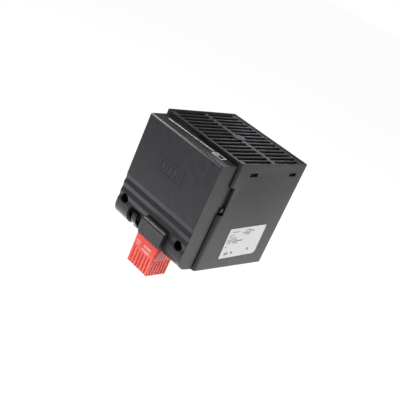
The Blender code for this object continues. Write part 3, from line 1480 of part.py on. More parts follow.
BLACK_PLASTIC = material("black_plastic", (0.055, 0.054, 0.055), 0.55)
COVER_PLASTIC = material("cover_plastic", (0.060, 0.058, 0.062), 0.50)
SOCKET_PLASTIC = material("socket_plastic", (0.055, 0.055, 0.058), 0.50)
CLAMP_PLASTIC = material("clamp_plastic", (0.050, 0.050, 0.054), 0.28)
CARRIER_PLASTIC = material("carrier_plastic", (0.10, 0.09, 0.08), 0.60)
CLIP_PLASTIC = material("clip_plastic", (0.05, 0.05, 0.052), 0.50)
FAN_PLASTIC = material("fan_plastic", (0.035, 0.035, 0.036), 0.45)
RED_PLASTIC = material("red_plastic", (0.80, 0.10, 0.07), 0.45)
WHITE_PLASTIC = material("white_plastic", (0.78, 0.77, 0.72), 0.45)
LABEL_FILM = material("label_film", (0.90, 0.90, 0.88), 0.40)
SCREW_STEEL = material("screw_steel", (0.30, 0.30, 0.31), 0.35, 1.0)
STEEL = material("steel", (0.55, 0.55, 0.56), 0.30, 1.0)
BRASS = material("brass", (0.72, 0.53, 0.24), 0.30, 1.0)
COPPER = material("copper_winding", (0.62, 0.28, 0.14), 0.40, 1.0)
ALUMINIUM = material("aluminium", (0.70, 0.71, 0.72), 0.38, 1.0)
CERAMIC = material("ceramic", (0.62, 0.56, 0.46), 0.55)
RUBBER = material("rubber", (0.03, 0.03, 0.03), 0.80)

make_housing()
make_cover()
make_socket()
make_module()
make_clamp()
make_terminals()
make_grommet()
make_fan_frame()
make_rotor()
make_guard()
make_heater()
make_carrier()
make_clip()
make_latch()
make_spring()
make_label()
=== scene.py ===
# %% [markdown]
# # A fan heater for a control cabinet
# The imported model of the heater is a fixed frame: every piece is already in its real place and
# at its real size. This lesson gives it its looks. Each step says what a piece or a finish is on
# the real object, how it could be made, and why it is made the way it is.

import json
import math

import bmesh
import bpy
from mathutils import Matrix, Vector


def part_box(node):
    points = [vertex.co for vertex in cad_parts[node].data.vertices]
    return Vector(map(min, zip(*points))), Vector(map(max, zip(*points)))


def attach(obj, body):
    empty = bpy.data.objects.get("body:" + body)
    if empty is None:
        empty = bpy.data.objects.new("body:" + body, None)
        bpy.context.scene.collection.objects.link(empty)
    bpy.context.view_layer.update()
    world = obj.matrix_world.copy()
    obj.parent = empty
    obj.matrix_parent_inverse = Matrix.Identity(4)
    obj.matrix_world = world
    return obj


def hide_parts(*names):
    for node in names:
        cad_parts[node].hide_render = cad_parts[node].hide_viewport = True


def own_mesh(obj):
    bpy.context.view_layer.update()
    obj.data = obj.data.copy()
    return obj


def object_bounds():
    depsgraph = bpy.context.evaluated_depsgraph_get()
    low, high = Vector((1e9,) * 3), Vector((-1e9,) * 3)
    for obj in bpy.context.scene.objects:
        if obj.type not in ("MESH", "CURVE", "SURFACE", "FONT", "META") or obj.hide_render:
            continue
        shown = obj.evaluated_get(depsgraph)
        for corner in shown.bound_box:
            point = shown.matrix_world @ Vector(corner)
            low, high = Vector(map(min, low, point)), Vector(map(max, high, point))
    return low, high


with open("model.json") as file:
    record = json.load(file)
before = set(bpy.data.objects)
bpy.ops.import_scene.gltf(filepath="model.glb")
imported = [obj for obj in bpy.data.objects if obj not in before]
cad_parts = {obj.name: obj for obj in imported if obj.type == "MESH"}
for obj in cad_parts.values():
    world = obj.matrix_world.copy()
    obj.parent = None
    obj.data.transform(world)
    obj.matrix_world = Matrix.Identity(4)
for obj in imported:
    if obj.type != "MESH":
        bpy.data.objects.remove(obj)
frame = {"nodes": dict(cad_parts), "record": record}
cad_low, cad_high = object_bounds()
MM = 0.001
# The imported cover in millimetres: its top, its front and the round between them
COVER_TOP, COVER_FRONT, COVER_ROUND = 42.95, -105.5, 1.0

# %% [markdown]
# ## The camera
# The heater was photographed from its upper right, with the camera rolled, so that the housing
# seems to stand on a corner. A camera has a place and three turns. These were found by matching
# the corners of the housing, and the focal length follows from how fast its edges run together.

# %% Camera
view_data = bpy.data.cameras.new("view")
view_data.lens = 70.0
view_data.sensor_width = 36.0
view = bpy.data.objects.new("view", view_data)
view.location = (0.3367, -0.5166, 0.2180)
view.rotation_euler = [math.radians(angle) for angle in (66.188, -22.302, 45.832)]
bpy.context.scene.collection.objects.link(view)
bpy.context.scene.camera = view
print("camera at", [round(v, 3) for v in view.location])

# %% [markdown]
# ## Colour and background
# The Standard view shows a colour as it is written. The photograph's background is plain white.
# It isn't made by more light, which would bleach the object: the world and the floor simply look
# white to rays that come from the camera, or that pass through or bounce off something shiny.

# %% Plain colours
scene = bpy.context.scene
scene.view_settings.view_transform = "Standard"
print("view transform:", scene.view_settings.view_transform)

# %% Helpers for node trees


def place_node(tree, kind, links_in=None, **settings):
    """Adds a node, sets its properties, and links or fills its inputs."""
    made = tree.nodes.new(kind)
    for key, value in settings.items():
        setattr(made, key, value)
    for key, value in (links_in or {}).items():
        if isinstance(value, bpy.types.NodeSocket):
            tree.links.new(value, made.inputs[key])
        else:
            made.inputs[key].default_value = value
    return made


def group_with(name, kind, inputs, outputs):
    """A new node group with its sockets, and its two end nodes."""
    tree = bpy.data.node_groups.new(name, kind)
    for label, socket, value in inputs:
        made = tree.interface.new_socket(name=label, in_out="INPUT", socket_type=socket)
        if value is not None:
            made.default_value = value
    for label, socket in outputs:
        tree.interface.new_socket(name=label, in_out="OUTPUT", socket_type=socket)
    return tree, tree.nodes.new("NodeGroupInput"), tree.nodes.new("NodeGroupOutput")


def maths(tree, operation, first, second, clamp=False):
    """One step of arithmetic on two sockets or numbers."""
    made = place_node(
        tree, "ShaderNodeMath", {0: first, 1: second}, operation=operation, use_clamp=clamp,
    )
    return made.outputs[0]


def in_range(tree, value, low, high, to_low=0.0, to_high=1.0):
    """A value that runs from one number to another while another value crosses a range."""
    made = place_node(tree, "ShaderNodeMapRange", {
        "Value": value, "From Min": low, "From Max": high, "To Min": to_low, "To Max": to_high,
    })
    return made.outputs["Result"]


def noise(tree, vector, scale, detail, **more):
    """Grains of a size: more of them to the metre as the scale goes up."""
    made = place_node(tree, "ShaderNodeTexNoise", {
        "Vector": vector, "Scale": scale, "Detail": detail, **more,
    })
    return made.outputs["Fac"]


print("helpers ready")

# %% White world, plain light


def seen_directly(tree):
    """A value of 1 for rays from the camera, or by way of gloss or glass, and 0 for light."""
    paths = tree.nodes.new("ShaderNodeLightPath")
    total = paths.outputs["Is Camera Ray"]
    for name in ("Is Glossy Ray", "Is Transmission Ray"):
        total = maths(tree, "ADD", total, paths.outputs[name], clamp=True)
    return total


world = bpy.data.worlds.new("studio")
world.use_nodes = True
scene.world = world
sky = world.node_tree
nodes, links = sky.nodes, sky.links
nodes.clear()
lit = nodes.new("ShaderNodeBackground")
lit.inputs["Color"].default_value = (0.97, 0.98, 1.0, 1.0)
lit.inputs["Strength"].default_value = 0.24
shown = nodes.new("ShaderNodeBackground")
shown.inputs["Color"].default_value = (1.0, 1.0, 1.0, 1.0)
pick = nodes.new("ShaderNodeMixShader")
# What gloss shows gets dimmer upwards, as in a light tent with a dark roof. The camera sees white
above = place_node(sky, "ShaderNodeSeparateXYZ", {
    0: nodes.new("ShaderNodeTexCoord").outputs["Generated"],
})
dim = in_range(sky, above.outputs["Z"], 0.10, 0.35, 0.70, 0.85)
camera_ray = nodes.new("ShaderNodeLightPath").outputs["Is Camera Ray"]
unseen = maths(sky, "SUBTRACT", 1.0, camera_ray)
level = maths(sky, "SUBTRACT", 1.0, maths(sky, "MULTIPLY", dim, unseen))
links.new(level, shown.inputs["Strength"])
out = nodes.new("ShaderNodeOutputWorld")
links.new(seen_directly(sky), pick.inputs[0])
links.new(lit.outputs[0], pick.inputs[1])
links.new(shown.outputs[0], pick.inputs[2])
links.new(pick.outputs[0], out.inputs["Surface"])
print("world light", lit.inputs["Strength"].default_value)

# %% [markdown]
# ## Floor and lamps
# The heater hangs on a rail, so the floor lies some way below it. It keeps a faint shadow: what
# the camera sees is mostly its own white, with a little that depends on the lamps. The lamps are
# wide and soft, as in a light tent. Each face of the heater shows what gloss mirrors there. To
# gloss alone the table has a painted glow, bright close to the heater and darker away from it,
# which makes the front paler towards its foot. The main lamp stands high at the left, where the
# cover's top edge mirrors it.

# %% Floor
floor_mesh = bpy.data.meshes.new("floor")
floor_form = bmesh.new()
bmesh.ops.create_grid(floor_form, x_segments=1, y_segments=1, size=3.0)
floor_form.to_mesh(floor_mesh)
floor_form.free()
floor = bpy.data.objects.new("floor", floor_mesh)
FLOOR_DROP = 0.10
floor.location = (0, 0, cad_low.z - FLOOR_DROP)
scene.collection.objects.link(floor)

white = bpy.data.materials.new("white_floor")
white.use_nodes = True
paint = white.node_tree
nodes, links = paint.nodes, paint.links
nodes.clear()
matt = nodes.new("ShaderNodeBsdfDiffuse")
matt.inputs["Color"].default_value = (0.80, 0.80, 0.80, 1.0)
faint = nodes.new("ShaderNodeBsdfDiffuse")
faint.inputs["Color"].default_value = (0.16, 0.16, 0.16, 1.0)
glow = nodes.new("ShaderNodeEmission")
# Painted glow for gloss rays only: the table is bright under the heater and falls into painted shade
# away from it
spot = place_node(paint, "ShaderNodeVectorMath", {
    0: nodes.new("ShaderNodeTexCoord").outputs["Object"],
}, operation="LENGTH")
POOL_EDGE, SHADE_EDGE = 0.36, 0.62
POOL_STRENGTH, SHADE_STRENGTH, SEEN_STRENGTH = 2.6, 0.55, 0.93
painted_pool = in_range(paint, spot.outputs["Value"], POOL_EDGE, SHADE_EDGE, POOL_STRENGTH, SHADE_STRENGTH)
direct = nodes.new("ShaderNodeLightPath").outputs["Is Camera Ray"]
strength = place_node(paint, "ShaderNodeMix", {"Factor": direct, "A": painted_pool, "B": SEEN_STRENGTH})
links.new(strength.outputs[0], glow.inputs["Strength"])
both = nodes.new("ShaderNodeAddShader")
pick = nodes.new("ShaderNodeMixShader")
out = nodes.new("ShaderNodeOutputMaterial")
links.new(faint.outputs[0], both.inputs[0])
links.new(glow.outputs[0], both.inputs[1])
links.new(seen_directly(paint), pick.inputs[0])
links.new(matt.outputs[0], pick.inputs[1])
links.new(both.outputs[0], pick.inputs[2])
links.new(pick.outputs[0], out.inputs["Surface"])
floor_mesh.materials.append(white)
print("floor at", round(floor.location.z, 3))

# %% Lamps


def lamp(name, place, size, power, tint=(1.0, 1.0, 1.0), aim=(0.0, -0.055, -0.005)):
    """A square soft lamp that looks at the middle of the heater."""
    data = bpy.data.lights.new(name, "AREA")
    data.shape = "SQUARE"
    data.size = size
    data.energy = power
    data.color = tint
    made = bpy.data.objects.new(name, data)
    made.location = place
    made.rotation_euler = (Vector(aim) - Vector(place)).to_track_quat("-Z", "Y").to_euler()
    made.visible_camera = False
    scene.collection.objects.link(made)
    return made


lamp("key_lamp", (-0.53, -0.36, 0.70), 0.28, 4.8)
lamp("left_lamp", (-0.75, -0.05, 0.55), 0.30, 2.0)
lamp("front_lamp", (0.05, -0.60, -0.12), 0.15, 1.05, (0.985, 0.985, 1.0))
lamp("side_lamp", (0.45, 0.10, -0.10), 0.20, 0.34, (1.0, 0.985, 0.96))
lamp("back_lamp", (0.50, 0.55, 0.02), 0.30, 0.62, (1.0, 0.99, 0.98))
lamp("gloss_lamp", (-0.30, 0.42, 0.20), 0.08, 0.11, (0.88, 0.90, 1.0))
lamp("edge_lamp", (0.30, 0.55, 0.50), 0.20, 0.8, (0.96, 0.97, 1.0))

# %% [markdown]
# ## Shader groups
# Several plastics share the same two effects, so each is built once, as a group with named
# inputs, and placed in each material with its own values. A moulded surface copies the fine
# spark-eroded grain of its mould, and handling leaves slightly paler edges. A group gives only
# colours, masks and heights. The shader itself stays in the material.

# %% Moulded grain
FLOAT, VECTOR = "NodeSocketFloat", "NodeSocketVector"
GRAIN, inside, outside = group_with(
    "moulded_grain", "ShaderNodeTree",
    [("Vector", VECTOR, None), ("Grain", FLOAT, 2600.0), ("Patches", FLOAT, 45.0)],
    [("Height", FLOAT), ("Tone", FLOAT), ("Rub", FLOAT)],
)
vector = inside.outputs["Vector"]
grain_scale = inside.outputs["Grain"]
fine = noise(GRAIN, vector, grain_scale, 3.0)
coarse = noise(GRAIN, vector, maths(GRAIN, "MULTIPLY", grain_scale, 0.31), 2.0)
patch = noise(GRAIN, vector, inside.outputs["Patches"], 4.0, Roughness=0.6, Distortion=0.6)
GRAIN.links.new(maths(GRAIN, "ADD", fine, coarse), outside.inputs["Height"])
GRAIN.links.new(patch, outside.inputs["Tone"])
GRAIN.links.new(in_range(GRAIN, patch, 0.48, 0.78), outside.inputs["Rub"])
print("group", GRAIN.name)

# %% Worn edges
WORN, inside, outside = group_with(
    "worn_edges", "ShaderNodeTree",
    [
        ("Vector", VECTOR, None), ("Start", FLOAT, 0.54), ("End", FLOAT, 0.62),
        ("Scale", FLOAT, 160.0),
    ],
    [("Mask", FLOAT)],
)
bend = place_node(WORN, "ShaderNodeNewGeometry").outputs["Pointiness"]
edge = in_range(WORN, bend, inside.outputs["Start"], inside.outputs["End"])
broken = noise(WORN, inside.outputs["Vector"], inside.outputs["Scale"], 5.0, Roughness=0.65)
gaps = in_range(WORN, broken, 0.35, 0.62)
WORN.links.new(maths(WORN, "MULTIPLY", edge, gaps), outside.inputs["Mask"])
print("group", WORN.name)

# %% [markdown]
# ## Plastics
# A moulded plastic is a Principled shader whose colour varies a little over the surface, whose
# roughness is uneven where hands have rubbed it, and whose normal is bumped by the grain. One
# function makes them all, because they differ only in colour, gloss and size of grain. Deep and
# narrow places get painted shade: their colour is darkened by how little sky they see, which
# keeps slots, gaps and wells black.

# %% Moulded plastics


def blend(tree, factor, low, high):
    """A colour between two, by a factor."""
    mix = tree.nodes.new("ShaderNodeMix")
    mix.data_type = "RGBA"
    tree.links.new(factor, mix.inputs["Factor"])
    for socket, value in ((mix.inputs[6], low), (mix.inputs[7], high)):
        if isinstance(value, bpy.types.NodeSocket):
            tree.links.new(value, socket)
        else:
            socket.default_value = (*value, 1.0)
    return mix.outputs[2]


def begin_material(name, metallic=0.0):
    """A material with its shader and object coordinates."""
    made = bpy.data.materials.new(name)
    made.use_nodes = True
    shader = made.node_tree.nodes["Principled BSDF"]
    shader.inputs["Metallic"].default_value = metallic
    place = made.node_tree.nodes.new("ShaderNodeTexCoord").outputs["Object"]
    return made, made.node_tree, shader, place


# Share of open sky at which painted shade begins to darken a hollow, and at which it is quite dark
OPEN, SHUT = 0.88, 0.35
PAINTED_SHADE_COLOUR, HOLLOW_ROUGHNESS = (0.001, 0.001, 0.001), 0.95


def painted_shade(tree, tone, rough, reach):
    """Painted shade: a deep, narrow place is painted black and dull by how little sky it sees, as
    hardly any light finds its way in and out.
    """
    sky_seen = place_node(tree, "ShaderNodeAmbientOcclusion", {"Distance": reach}, samples=12)
    hollow = in_range(tree, sky_seen.outputs["AO"], OPEN, SHUT)
    dull = place_node(tree, "ShaderNodeMix", {"Factor": hollow, "A": rough, "B": HOLLOW_ROUGHNESS})
    return blend(tree, hollow, tone, PAINTED_SHADE_COLOUR), dull.outputs[0]


def top_edge(tree, place):
    """A mask of the strip along the cover's top front edge, polished by hands and mould."""
    spot = place_node(tree, "ShaderNodeSeparateXYZ", {0: place})
    inner, outer = 1.4, 1.2
    high = in_range(tree, spot.outputs["Z"], (COVER_TOP - inner) * MM, (COVER_TOP - outer) * MM)
    front = in_range(tree, spot.outputs["Y"], (COVER_FRONT + inner) * MM, (COVER_FRONT + outer) * MM)
    return maths(tree, "MULTIPLY", high, front)


def paler(colour, edge):
    """The colour of a worn edge: dark plastic goes towards grey, bright plastic towards white."""
    if max(colour) < 0.3:
        return tuple(c + (0.30 - c) * 0.5 * edge for c in colour)
    return tuple(c + (1 - c) * 0.25 * edge for c in colour)


def plastic(
    name, colour, roughness, grain=2600.0, depth=0.00003, spread=0.12, edge=0.5, shine=0.5,
    shade_reach=0.0, polish=0.0,
):
    """Moulded plastic: its colour and roughness, the size and depth of its grain, how uneven it
    is, how pale its edges are, how far painted shade reaches into a hollow, and how glossy the
    cover's top edge is."""
    made, tree, shader, place = begin_material(name)
    shader.inputs["Specular IOR Level"].default_value = shine
    skin = tree.nodes.new("ShaderNodeGroup")
    skin.node_tree = GRAIN
    tree.links.new(place, skin.inputs["Vector"])
    skin.inputs["Grain"].default_value = grain
    worn = tree.nodes.new("ShaderNodeGroup")
    worn.node_tree = WORN
    tree.links.new(place, worn.inputs["Vector"])
    dark = tuple(c * (1 - spread) for c in colour)
    light = tuple(c * (1 + spread) for c in colour)
    tone = blend(tree, skin.outputs["Tone"], dark, light)
    skin_colour = blend(tree, worn.outputs["Mask"], tone, paler(colour, edge))
    rough = in_range(tree, skin.outputs["Rub"], 0.0, 1.0, roughness + 0.05, roughness - 0.07)
    # Painted shade: the colour goes towards black, and the surface gets duller, where little sky is
    # seen
    if shade_reach:
        skin_colour, rough = painted_shade(tree, skin_colour, rough, shade_reach)
    if polish:
        lustre = in_range(tree, top_edge(tree, place), 0.0, 1.0, 0.0, polish)
        tree.links.new(lustre, shader.inputs["Coat Weight"])
        shader.inputs["Coat Roughness"].default_value = 0.30
    tree.links.new(skin_colour, shader.inputs["Base Color"])
    tree.links.new(rough, shader.inputs["Roughness"])
    bump = place_node(tree, "ShaderNodeBump", {
        "Height": skin.outputs["Height"], "Strength": 0.35, "Distance": depth,
    })
    tree.links.new(bump.outputs["Normal"], shader.inputs["Normal"])
    return made


FINISH = {
    "black_plastic": plastic(
        "black_moulding", (0.0290, 0.0275, 0.0300), 0.36, edge=0.15, shine=0.24, shade_reach=0.008,
    ),
    "cover_plastic": plastic(
        "cover_moulding", (0.0295, 0.0270, 0.0310), 0.30, grain=2200.0, edge=0.15, shine=0.20,
        shade_reach=0.008, polish=0.2,
    ),
    "socket_plastic": plastic(
        "socket_moulding", (0.0330, 0.0310, 0.0360), 0.27, grain=3000.0, edge=0.2, shine=0.40,
        shade_reach=0.006,
    ),
    "clamp_plastic": plastic(
        "clamp_moulding", (0.0165, 0.0170, 0.0215), 0.22, depth=0.00001, edge=0.2, shine=0.12,
        shade_reach=0.006,
    ),
    "carrier_plastic": plastic(
        "carrier_moulding", (0.024, 0.022, 0.020), 0.62, grain=1800.0, edge=0.2, shine=0.2,
    ),
    "clip_plastic": plastic("clip_moulding", (0.0220, 0.0220, 0.0235), 0.46, edge=0.2, shine=0.3),
    "fan_plastic": plastic("fan_moulding", (0.0160, 0.0160, 0.0168), 0.40, edge=0.2, shine=0.3),
    "red_plastic": plastic(
        "red_moulding", (0.92, 0.098, 0.066), 0.40, grain=2000.0, spread=0.05, edge=0.5, shine=0.3,
    ),
    "white_plastic": plastic("terminal_moulding", (0.74, 0.73, 0.68), 0.42, spread=0.04),
    "rubber": plastic(
        "grommet_rubber", (0.014, 0.014, 0.014), 0.78, grain=1200.0, edge=0.2, shine=0.2,
    ),
}
print("plastics:", sorted(FINISH))

# %% [markdown]
# ## Metals, ceramic and paper
# Zinc plating is cloudy, a fan shaft is ground, an extruded heat sink has fine lines along the
# way it was drawn, and a winding is lacquered copper. All come from stretched or plain noise. A
# Mapping node that is stretched along one axis turns round grains into drawn lines.

# %% Metals


def metal(name, colour, roughness, stretch=(1.0, 1.0, 1.0), scale=900.0, shade_reach=0.0):
    """Metal with cloudy or drawn marks. A small stretch along an axis makes lines along it."""
    made, tree, shader, place = begin_material(name, 1.0)
    mapped = place_node(tree, "ShaderNodeMapping", {"Vector": place, "Scale": stretch})
    lines = noise(tree, mapped.outputs[0], scale, 4.0)
    cloud = noise(tree, place, 130.0, 3.0)
    dull = tuple(c * 0.65 for c in colour)
    tone = blend(tree, cloud, dull, colour)
    rough = in_range(tree, lines, 0.0, 1.0, roughness - 0.10, roughness + 0.14)
    # Painted shade: the colour goes towards black, and the surface gets duller, where little sky is
    # seen
    if shade_reach:
        tone, rough = painted_shade(tree, tone, rough, shade_reach)
    tree.links.new(tone, shader.inputs["Base Color"])
    tree.links.new(rough, shader.inputs["Roughness"])
    bump = place_node(tree, "ShaderNodeBump", {
        "Height": lines, "Strength": 0.4, "Distance": 0.00001,
    })
    tree.links.new(bump.outputs["Normal"], shader.inputs["Normal"])
    return made


FINISH["screw_steel"] = metal(
    "black_zinc_plating", (0.055, 0.055, 0.060), 0.30, scale=1400.0, shade_reach=0.004,
)
FINISH["steel"] = metal("ground_steel", (0.60, 0.60, 0.61), 0.28, (1.0, 1.0, 0.06))
FINISH["brass"] = metal("contact_brass", (0.76, 0.56, 0.27), 0.30, (1.0, 1.0, 0.2))
FINISH["aluminium"] = metal("drawn_aluminium", (0.72, 0.73, 0.74), 0.36, (1.0, 1.0, 0.04), 1600.0)
FINISH["copper_winding"] = metal("lacquered_winding", (0.64, 0.27, 0.12), 0.38, (0.3, 0.3, 6.0), 500.0)
print("metals ready")

# %% Ceramic, label film and printing ink


def matt_finish(name, colour, roughness, scale, spread):
    """A matt solid whose tone and height follow one noise."""
    made, tree, shader, place = begin_material(name)
    grains = noise(tree, place, scale, 5.0, Roughness=0.6)
    low = tuple(c * (1 - spread) for c in colour)
    high = tuple(min(1.0, c * (1 + spread)) for c in colour)
    rough = in_range(tree, grains, 0.0, 1.0, roughness - 0.06, roughness + 0.06)
    tree.links.new(blend(tree, grains, low, high), shader.inputs["Base Color"])
    tree.links.new(rough, shader.inputs["Roughness"])
    bump = place_node(tree, "ShaderNodeBump", {
        "Height": grains, "Strength": 0.3, "Distance": 0.00001,
    })
    tree.links.new(bump.outputs["Normal"], shader.inputs["Normal"])
    return made


FINISH["ceramic"] = matt_finish("fired_ceramic", (0.60, 0.55, 0.46), 0.58, 1500.0, 0.10)
FINISH["label_film"] = matt_finish("white_film", (0.96, 0.96, 0.955), 0.36, 700.0, 0.015)
GREY_INK = matt_finish("grey_ink", (0.17, 0.17, 0.18), 0.45, 1500.0, 0.20)
WHITE_INK = matt_finish("white_ink", (0.96, 0.96, 0.97), 0.45, 1500.0, 0.03)
PALE_INK = matt_finish("pale_ink", (0.90, 0.50, 0.45), 0.45, 1500.0, 0.06)
DULL_RED = matt_finish("dull_red_disc", (0.72, 0.20, 0.165), 0.55, 1500.0, 0.04)
print("finishes:", len(FINISH))

# %% [markdown]
# ## A finish on every node
# The record says which material slot each node has. Each node gets that slot's finish first, so
# that nothing is left plain, also inside the housing where only the slots show it.

# %% Finish the nodes
SLOT_OF = {entry["node"]: entry["material_slot"] for entry in frame["record"]["subparts"]}
for name, obj in frame["nodes"].items():
    obj.data.materials.clear()
    obj.data.materials.append(FINISH[SLOT_OF[name]])
print("finished", len(SLOT_OF), "nodes")

# %% [markdown]
# ## Edges that catch the light
# A moulded edge is never sharp: it has a small radius that shows as a thin highlight. The frame's
# nodes are loose triangles with sharp edges. A copy of each one is welded, and a Bevel modifier
# rounds its edges. The copy then stands for the node. Two angles are at work. Edges steeper than
# the first stay creases in the shading, and edges steeper than the second get a radius. The front
# cover needs a low first angle, because its shallow grooves turn by only twelve degrees. Its top
# edge is nearly a flat chamfer, so that one bright line runs along the whole edge.

# %% Welded and rounded copies


def welded_copy(nodes):
    """One mesh of the named nodes, with shared corners."""
    form = bmesh.new()
    for name in nodes:
        form.from_mesh(frame["nodes"][name].data)
    bmesh.ops.remove_doubles(form, verts=form.verts, dist=0.000002)
    return form


def settle(piece, name, slot, body, nodes=(), finish=None):
    """Names a finished mesh, gives it its finish, hangs it on the body it rides on, and hides the
    nodes it stands for.
    """
    piece.data.name = name
    piece.data.materials.clear()
    piece.data.materials.append(finish or FINISH[slot])
    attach(piece, body)
    if nodes:
        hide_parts(*nodes)
    return piece


def evaluated_mesh(piece):
    """Turns a piece's modifiers into plain mesh, and removes them."""
    start = piece.data
    made = bpy.data.meshes.new_from_object(piece.evaluated_get(bpy.context.evaluated_depsgraph_get()))
    piece.modifiers.clear()
    piece.data = made
    bpy.data.meshes.remove(start)


def finished_piece(name, form, slot, body, nodes, radius=0.0, crease=30.0, corner=38.0):
    """A piece that stands for its nodes, with rounded edges and smooth curves."""
    mesh = bpy.data.meshes.new(name)
    form.to_mesh(mesh)
    form.free()
    mesh.shade_smooth()
    mesh.set_sharp_from_angle(angle=math.radians(crease))
    piece = bpy.data.objects.new(name, mesh)
    scene.collection.objects.link(piece)
    if radius:
        rounding = piece.modifiers.new("rounding", "BEVEL")
        rounding.width = radius
        rounding.segments = 2
        rounding.limit_method = "ANGLE"
        rounding.angle_limit = math.radians(corner)
        rounding.harden_normals = True
        rounding.use_clamp_overlap = False
        evaluated_mesh(piece)
    return settle(piece, name, slot, body, nodes)


MOULDINGS = {
    # piece: node, body, radius in mm, crease angle
    "housing_moulding": ("housing", "heater", 0.20, 30),
    "cover_moulding": ("front_cover", "heater", 0.0, 11),
    "socket_moulding": ("thermostat_socket", "heater", 0.08, 25),
    "clamp_strap": ("cable_clamp", "heater", 0.20, 30),
    "clip_moulding": ("rail_clip", "heater", 0.20, 30),
    "latch_moulding": ("rail_latch", "latch", 0.15, 30),
    "guard_moulding": ("fan_guard", "heater", 0.15, 30),
    "fan_casing": ("fan_frame", "heater", 0.12, 30),
    "fan_wheel": ("fan_rotor", "rotor", 0.0, 32),
    "carrier_moulding": ("heater_carrier", "heater", 0.15, 30),
    "thermostat_case": ("thermostat_module", "thermostat", 0.0, 24),
    "terminal_moulding": ("terminal_block", "heater", 0.15, 30),
    "grommet_ring": ("lead_grommet", "heater", 0.20, 30),
    "element_body": ("heating_element", "heater", 0.15, 30),
    "cutout_can": ("thermal_cutout", "heater", 0.20, 30),
    "front_fins": ("heat_sink_front", "heater", 0.10, 30),
    "back_fins": ("heat_sink_back", "heater", 0.10, 30),
    "fan_windings": ("fan_stator", "heater", 0.0, 30),
}



def broad_top_edge(form, leg=1.3, swell=0.224):
    """Turns the round along the cover's top edge into a soft chamfer, which shines as one line."""
    for vert in form.verts:
        back, down = vert.co.y / MM - COVER_FRONT, COVER_TOP - vert.co.z / MM
        across, along = COVER_ROUND - back, COVER_ROUND - down
        if min(across, along) < -0.01:
            continue
        turn = math.atan2(across, along)
        part = turn / (math.pi / 2)
        inset = COVER_ROUND - math.hypot(across, along)
        out = swell * part * (1 - part)
        vert.co.y = (COVER_FRONT + leg * (1 - part) + inset * math.sin(turn) - out) * MM
        vert.co.z = (COVER_TOP - leg * part - inset * math.cos(turn) + out) * MM


for name, (node_name, body, radius, crease) in MOULDINGS.items():
    form = welded_copy([node_name])
    if name == "cover_moulding":
        broad_top_edge(form)
    slot = SLOT_OF[node_name]
    piece = finished_piece(name, form, slot, body, [node_name], radius * MM, crease)
    print(name, len(piece.data.polygons), "faces")

# %% [markdown]
# ## Trees that grow a piece
# What repeats on the heater follows a rule, so Geometry Nodes make it. A tree has named inputs for
# its sizes, and ends by turning instances into real mesh and giving them their finish. An input
# of the modifier is set by its socket's identifier, because two sockets may share a name. The
# result is then turned into a plain mesh, and the modifier goes away.

# %% Helpers for geometry trees
GEOMETRY, INTEGER, MATERIAL = "NodeSocketGeometry", "NodeSocketInt", "NodeSocketMaterial"


def geometry_tree(name, inputs):
    """A tree with a geometry input, its named sizes and a finish."""
    sockets = [("Geometry", GEOMETRY, None)] + inputs + [("Finish", MATERIAL, None)]
    tree, inside, outside = group_with(name, "GeometryNodeTree", sockets, [("Geometry", GEOMETRY)])
    return tree, inside.outputs, outside


def trio(tree, x, y, z):
    """A vector from three sockets or numbers."""
    return place_node(tree, "ShaderNodeCombineXYZ", {"X": x, "Y": y, "Z": z}).outputs[0]


def vectors(tree, operation, first, second):
    """One step of arithmetic on vectors. For SCALE the second is a number."""
    socket = "Scale" if operation == "SCALE" else 1
    made = place_node(
        tree, "ShaderNodeVectorMath", {0: first, socket: second}, operation=operation,
    )
    return made.outputs[0]


def moved(tree, shape, place, **turn):
    """A shape in another place, and turned if a rotation is given."""
    made = place_node(tree, "GeometryNodeTransform", {
        "Geometry": shape, "Translation": place, **turn,
    })
    return made.outputs[0]


def put_on(tree, points, shape, turn, size):
    """A shape on every point."""
    made = place_node(tree, "GeometryNodeInstanceOnPoints", {
        "Points": points, "Instance": shape, "Rotation": turn, "Scale": size,
    })
    return made.outputs[0]


def lying_along(tree, inside):
    """The turn that lays what faces up onto a surface, by the tree's inputs Along and Up."""
    made = place_node(tree, "FunctionNodeAxesToRotation", {
        "Primary Axis": inside["Along"], "Secondary Axis": inside["Up"],
    }, primary_axis="X", secondary_axis="Y")
    return made.outputs[0]


def end_tree(tree, inside, outside, shapes):
    """Joins the shapes, makes them real and gives them the finish."""
    joined = tree.nodes.new("GeometryNodeJoinGeometry")
    for shape in shapes:
        tree.links.new(shape, joined.inputs[0])
    real = place_node(tree, "GeometryNodeRealizeInstances", {"Geometry": joined.outputs[0]})
    coated = place_node(tree, "GeometryNodeSetMaterial", {
        "Geometry": real.outputs[0], "Material": inside["Finish"],
    })
    tree.links.new(coated.outputs[0], outside.inputs["Geometry"])


def grow_mesh(name, tree, values, finish, start=None, crease=35.0):
    """A plain mesh from a tree and the values of its inputs, in a new object."""
    piece = bpy.data.objects.new(name, start or bpy.data.meshes.new(name + "_start"))
    scene.collection.objects.link(piece)
    grow = piece.modifiers.new("grow", "NODES")
    grow.node_group = tree
    values = {**values, "Finish": finish}
    for item in tree.interface.items_tree:
        if item.in_out == "INPUT" and item.name in values:
            grow[item.identifier] = values[item.name]
    evaluated_mesh(piece)
    piece.data.shade_smooth()
    piece.data.set_sharp_from_angle(angle=math.radians(crease))
    return piece


def grown(name, tree, values, slot, body, nodes=(), start=None, crease=35.0, finish=None):
    """A finished piece from a tree."""
    piece = grow_mesh(name, tree, values, finish or FINISH[slot], start, crease)
    settle(piece, name, slot, body, nodes, finish)
    print(name, len(piece.data.polygons), "faces")
    return piece


print("tree helpers ready")

# %% [markdown]
# ## Screws
# Fifteen cross-head screws hold the heater together, and they differ only in place, direction,
# length and size of head. Each becomes one point that carries those as attributes. The tree puts a
# pan head on each point, a core that is stretched to the length, and a row of thread ridges. Each
# head is turned by a random angle, as screws are left by whoever tightened them.

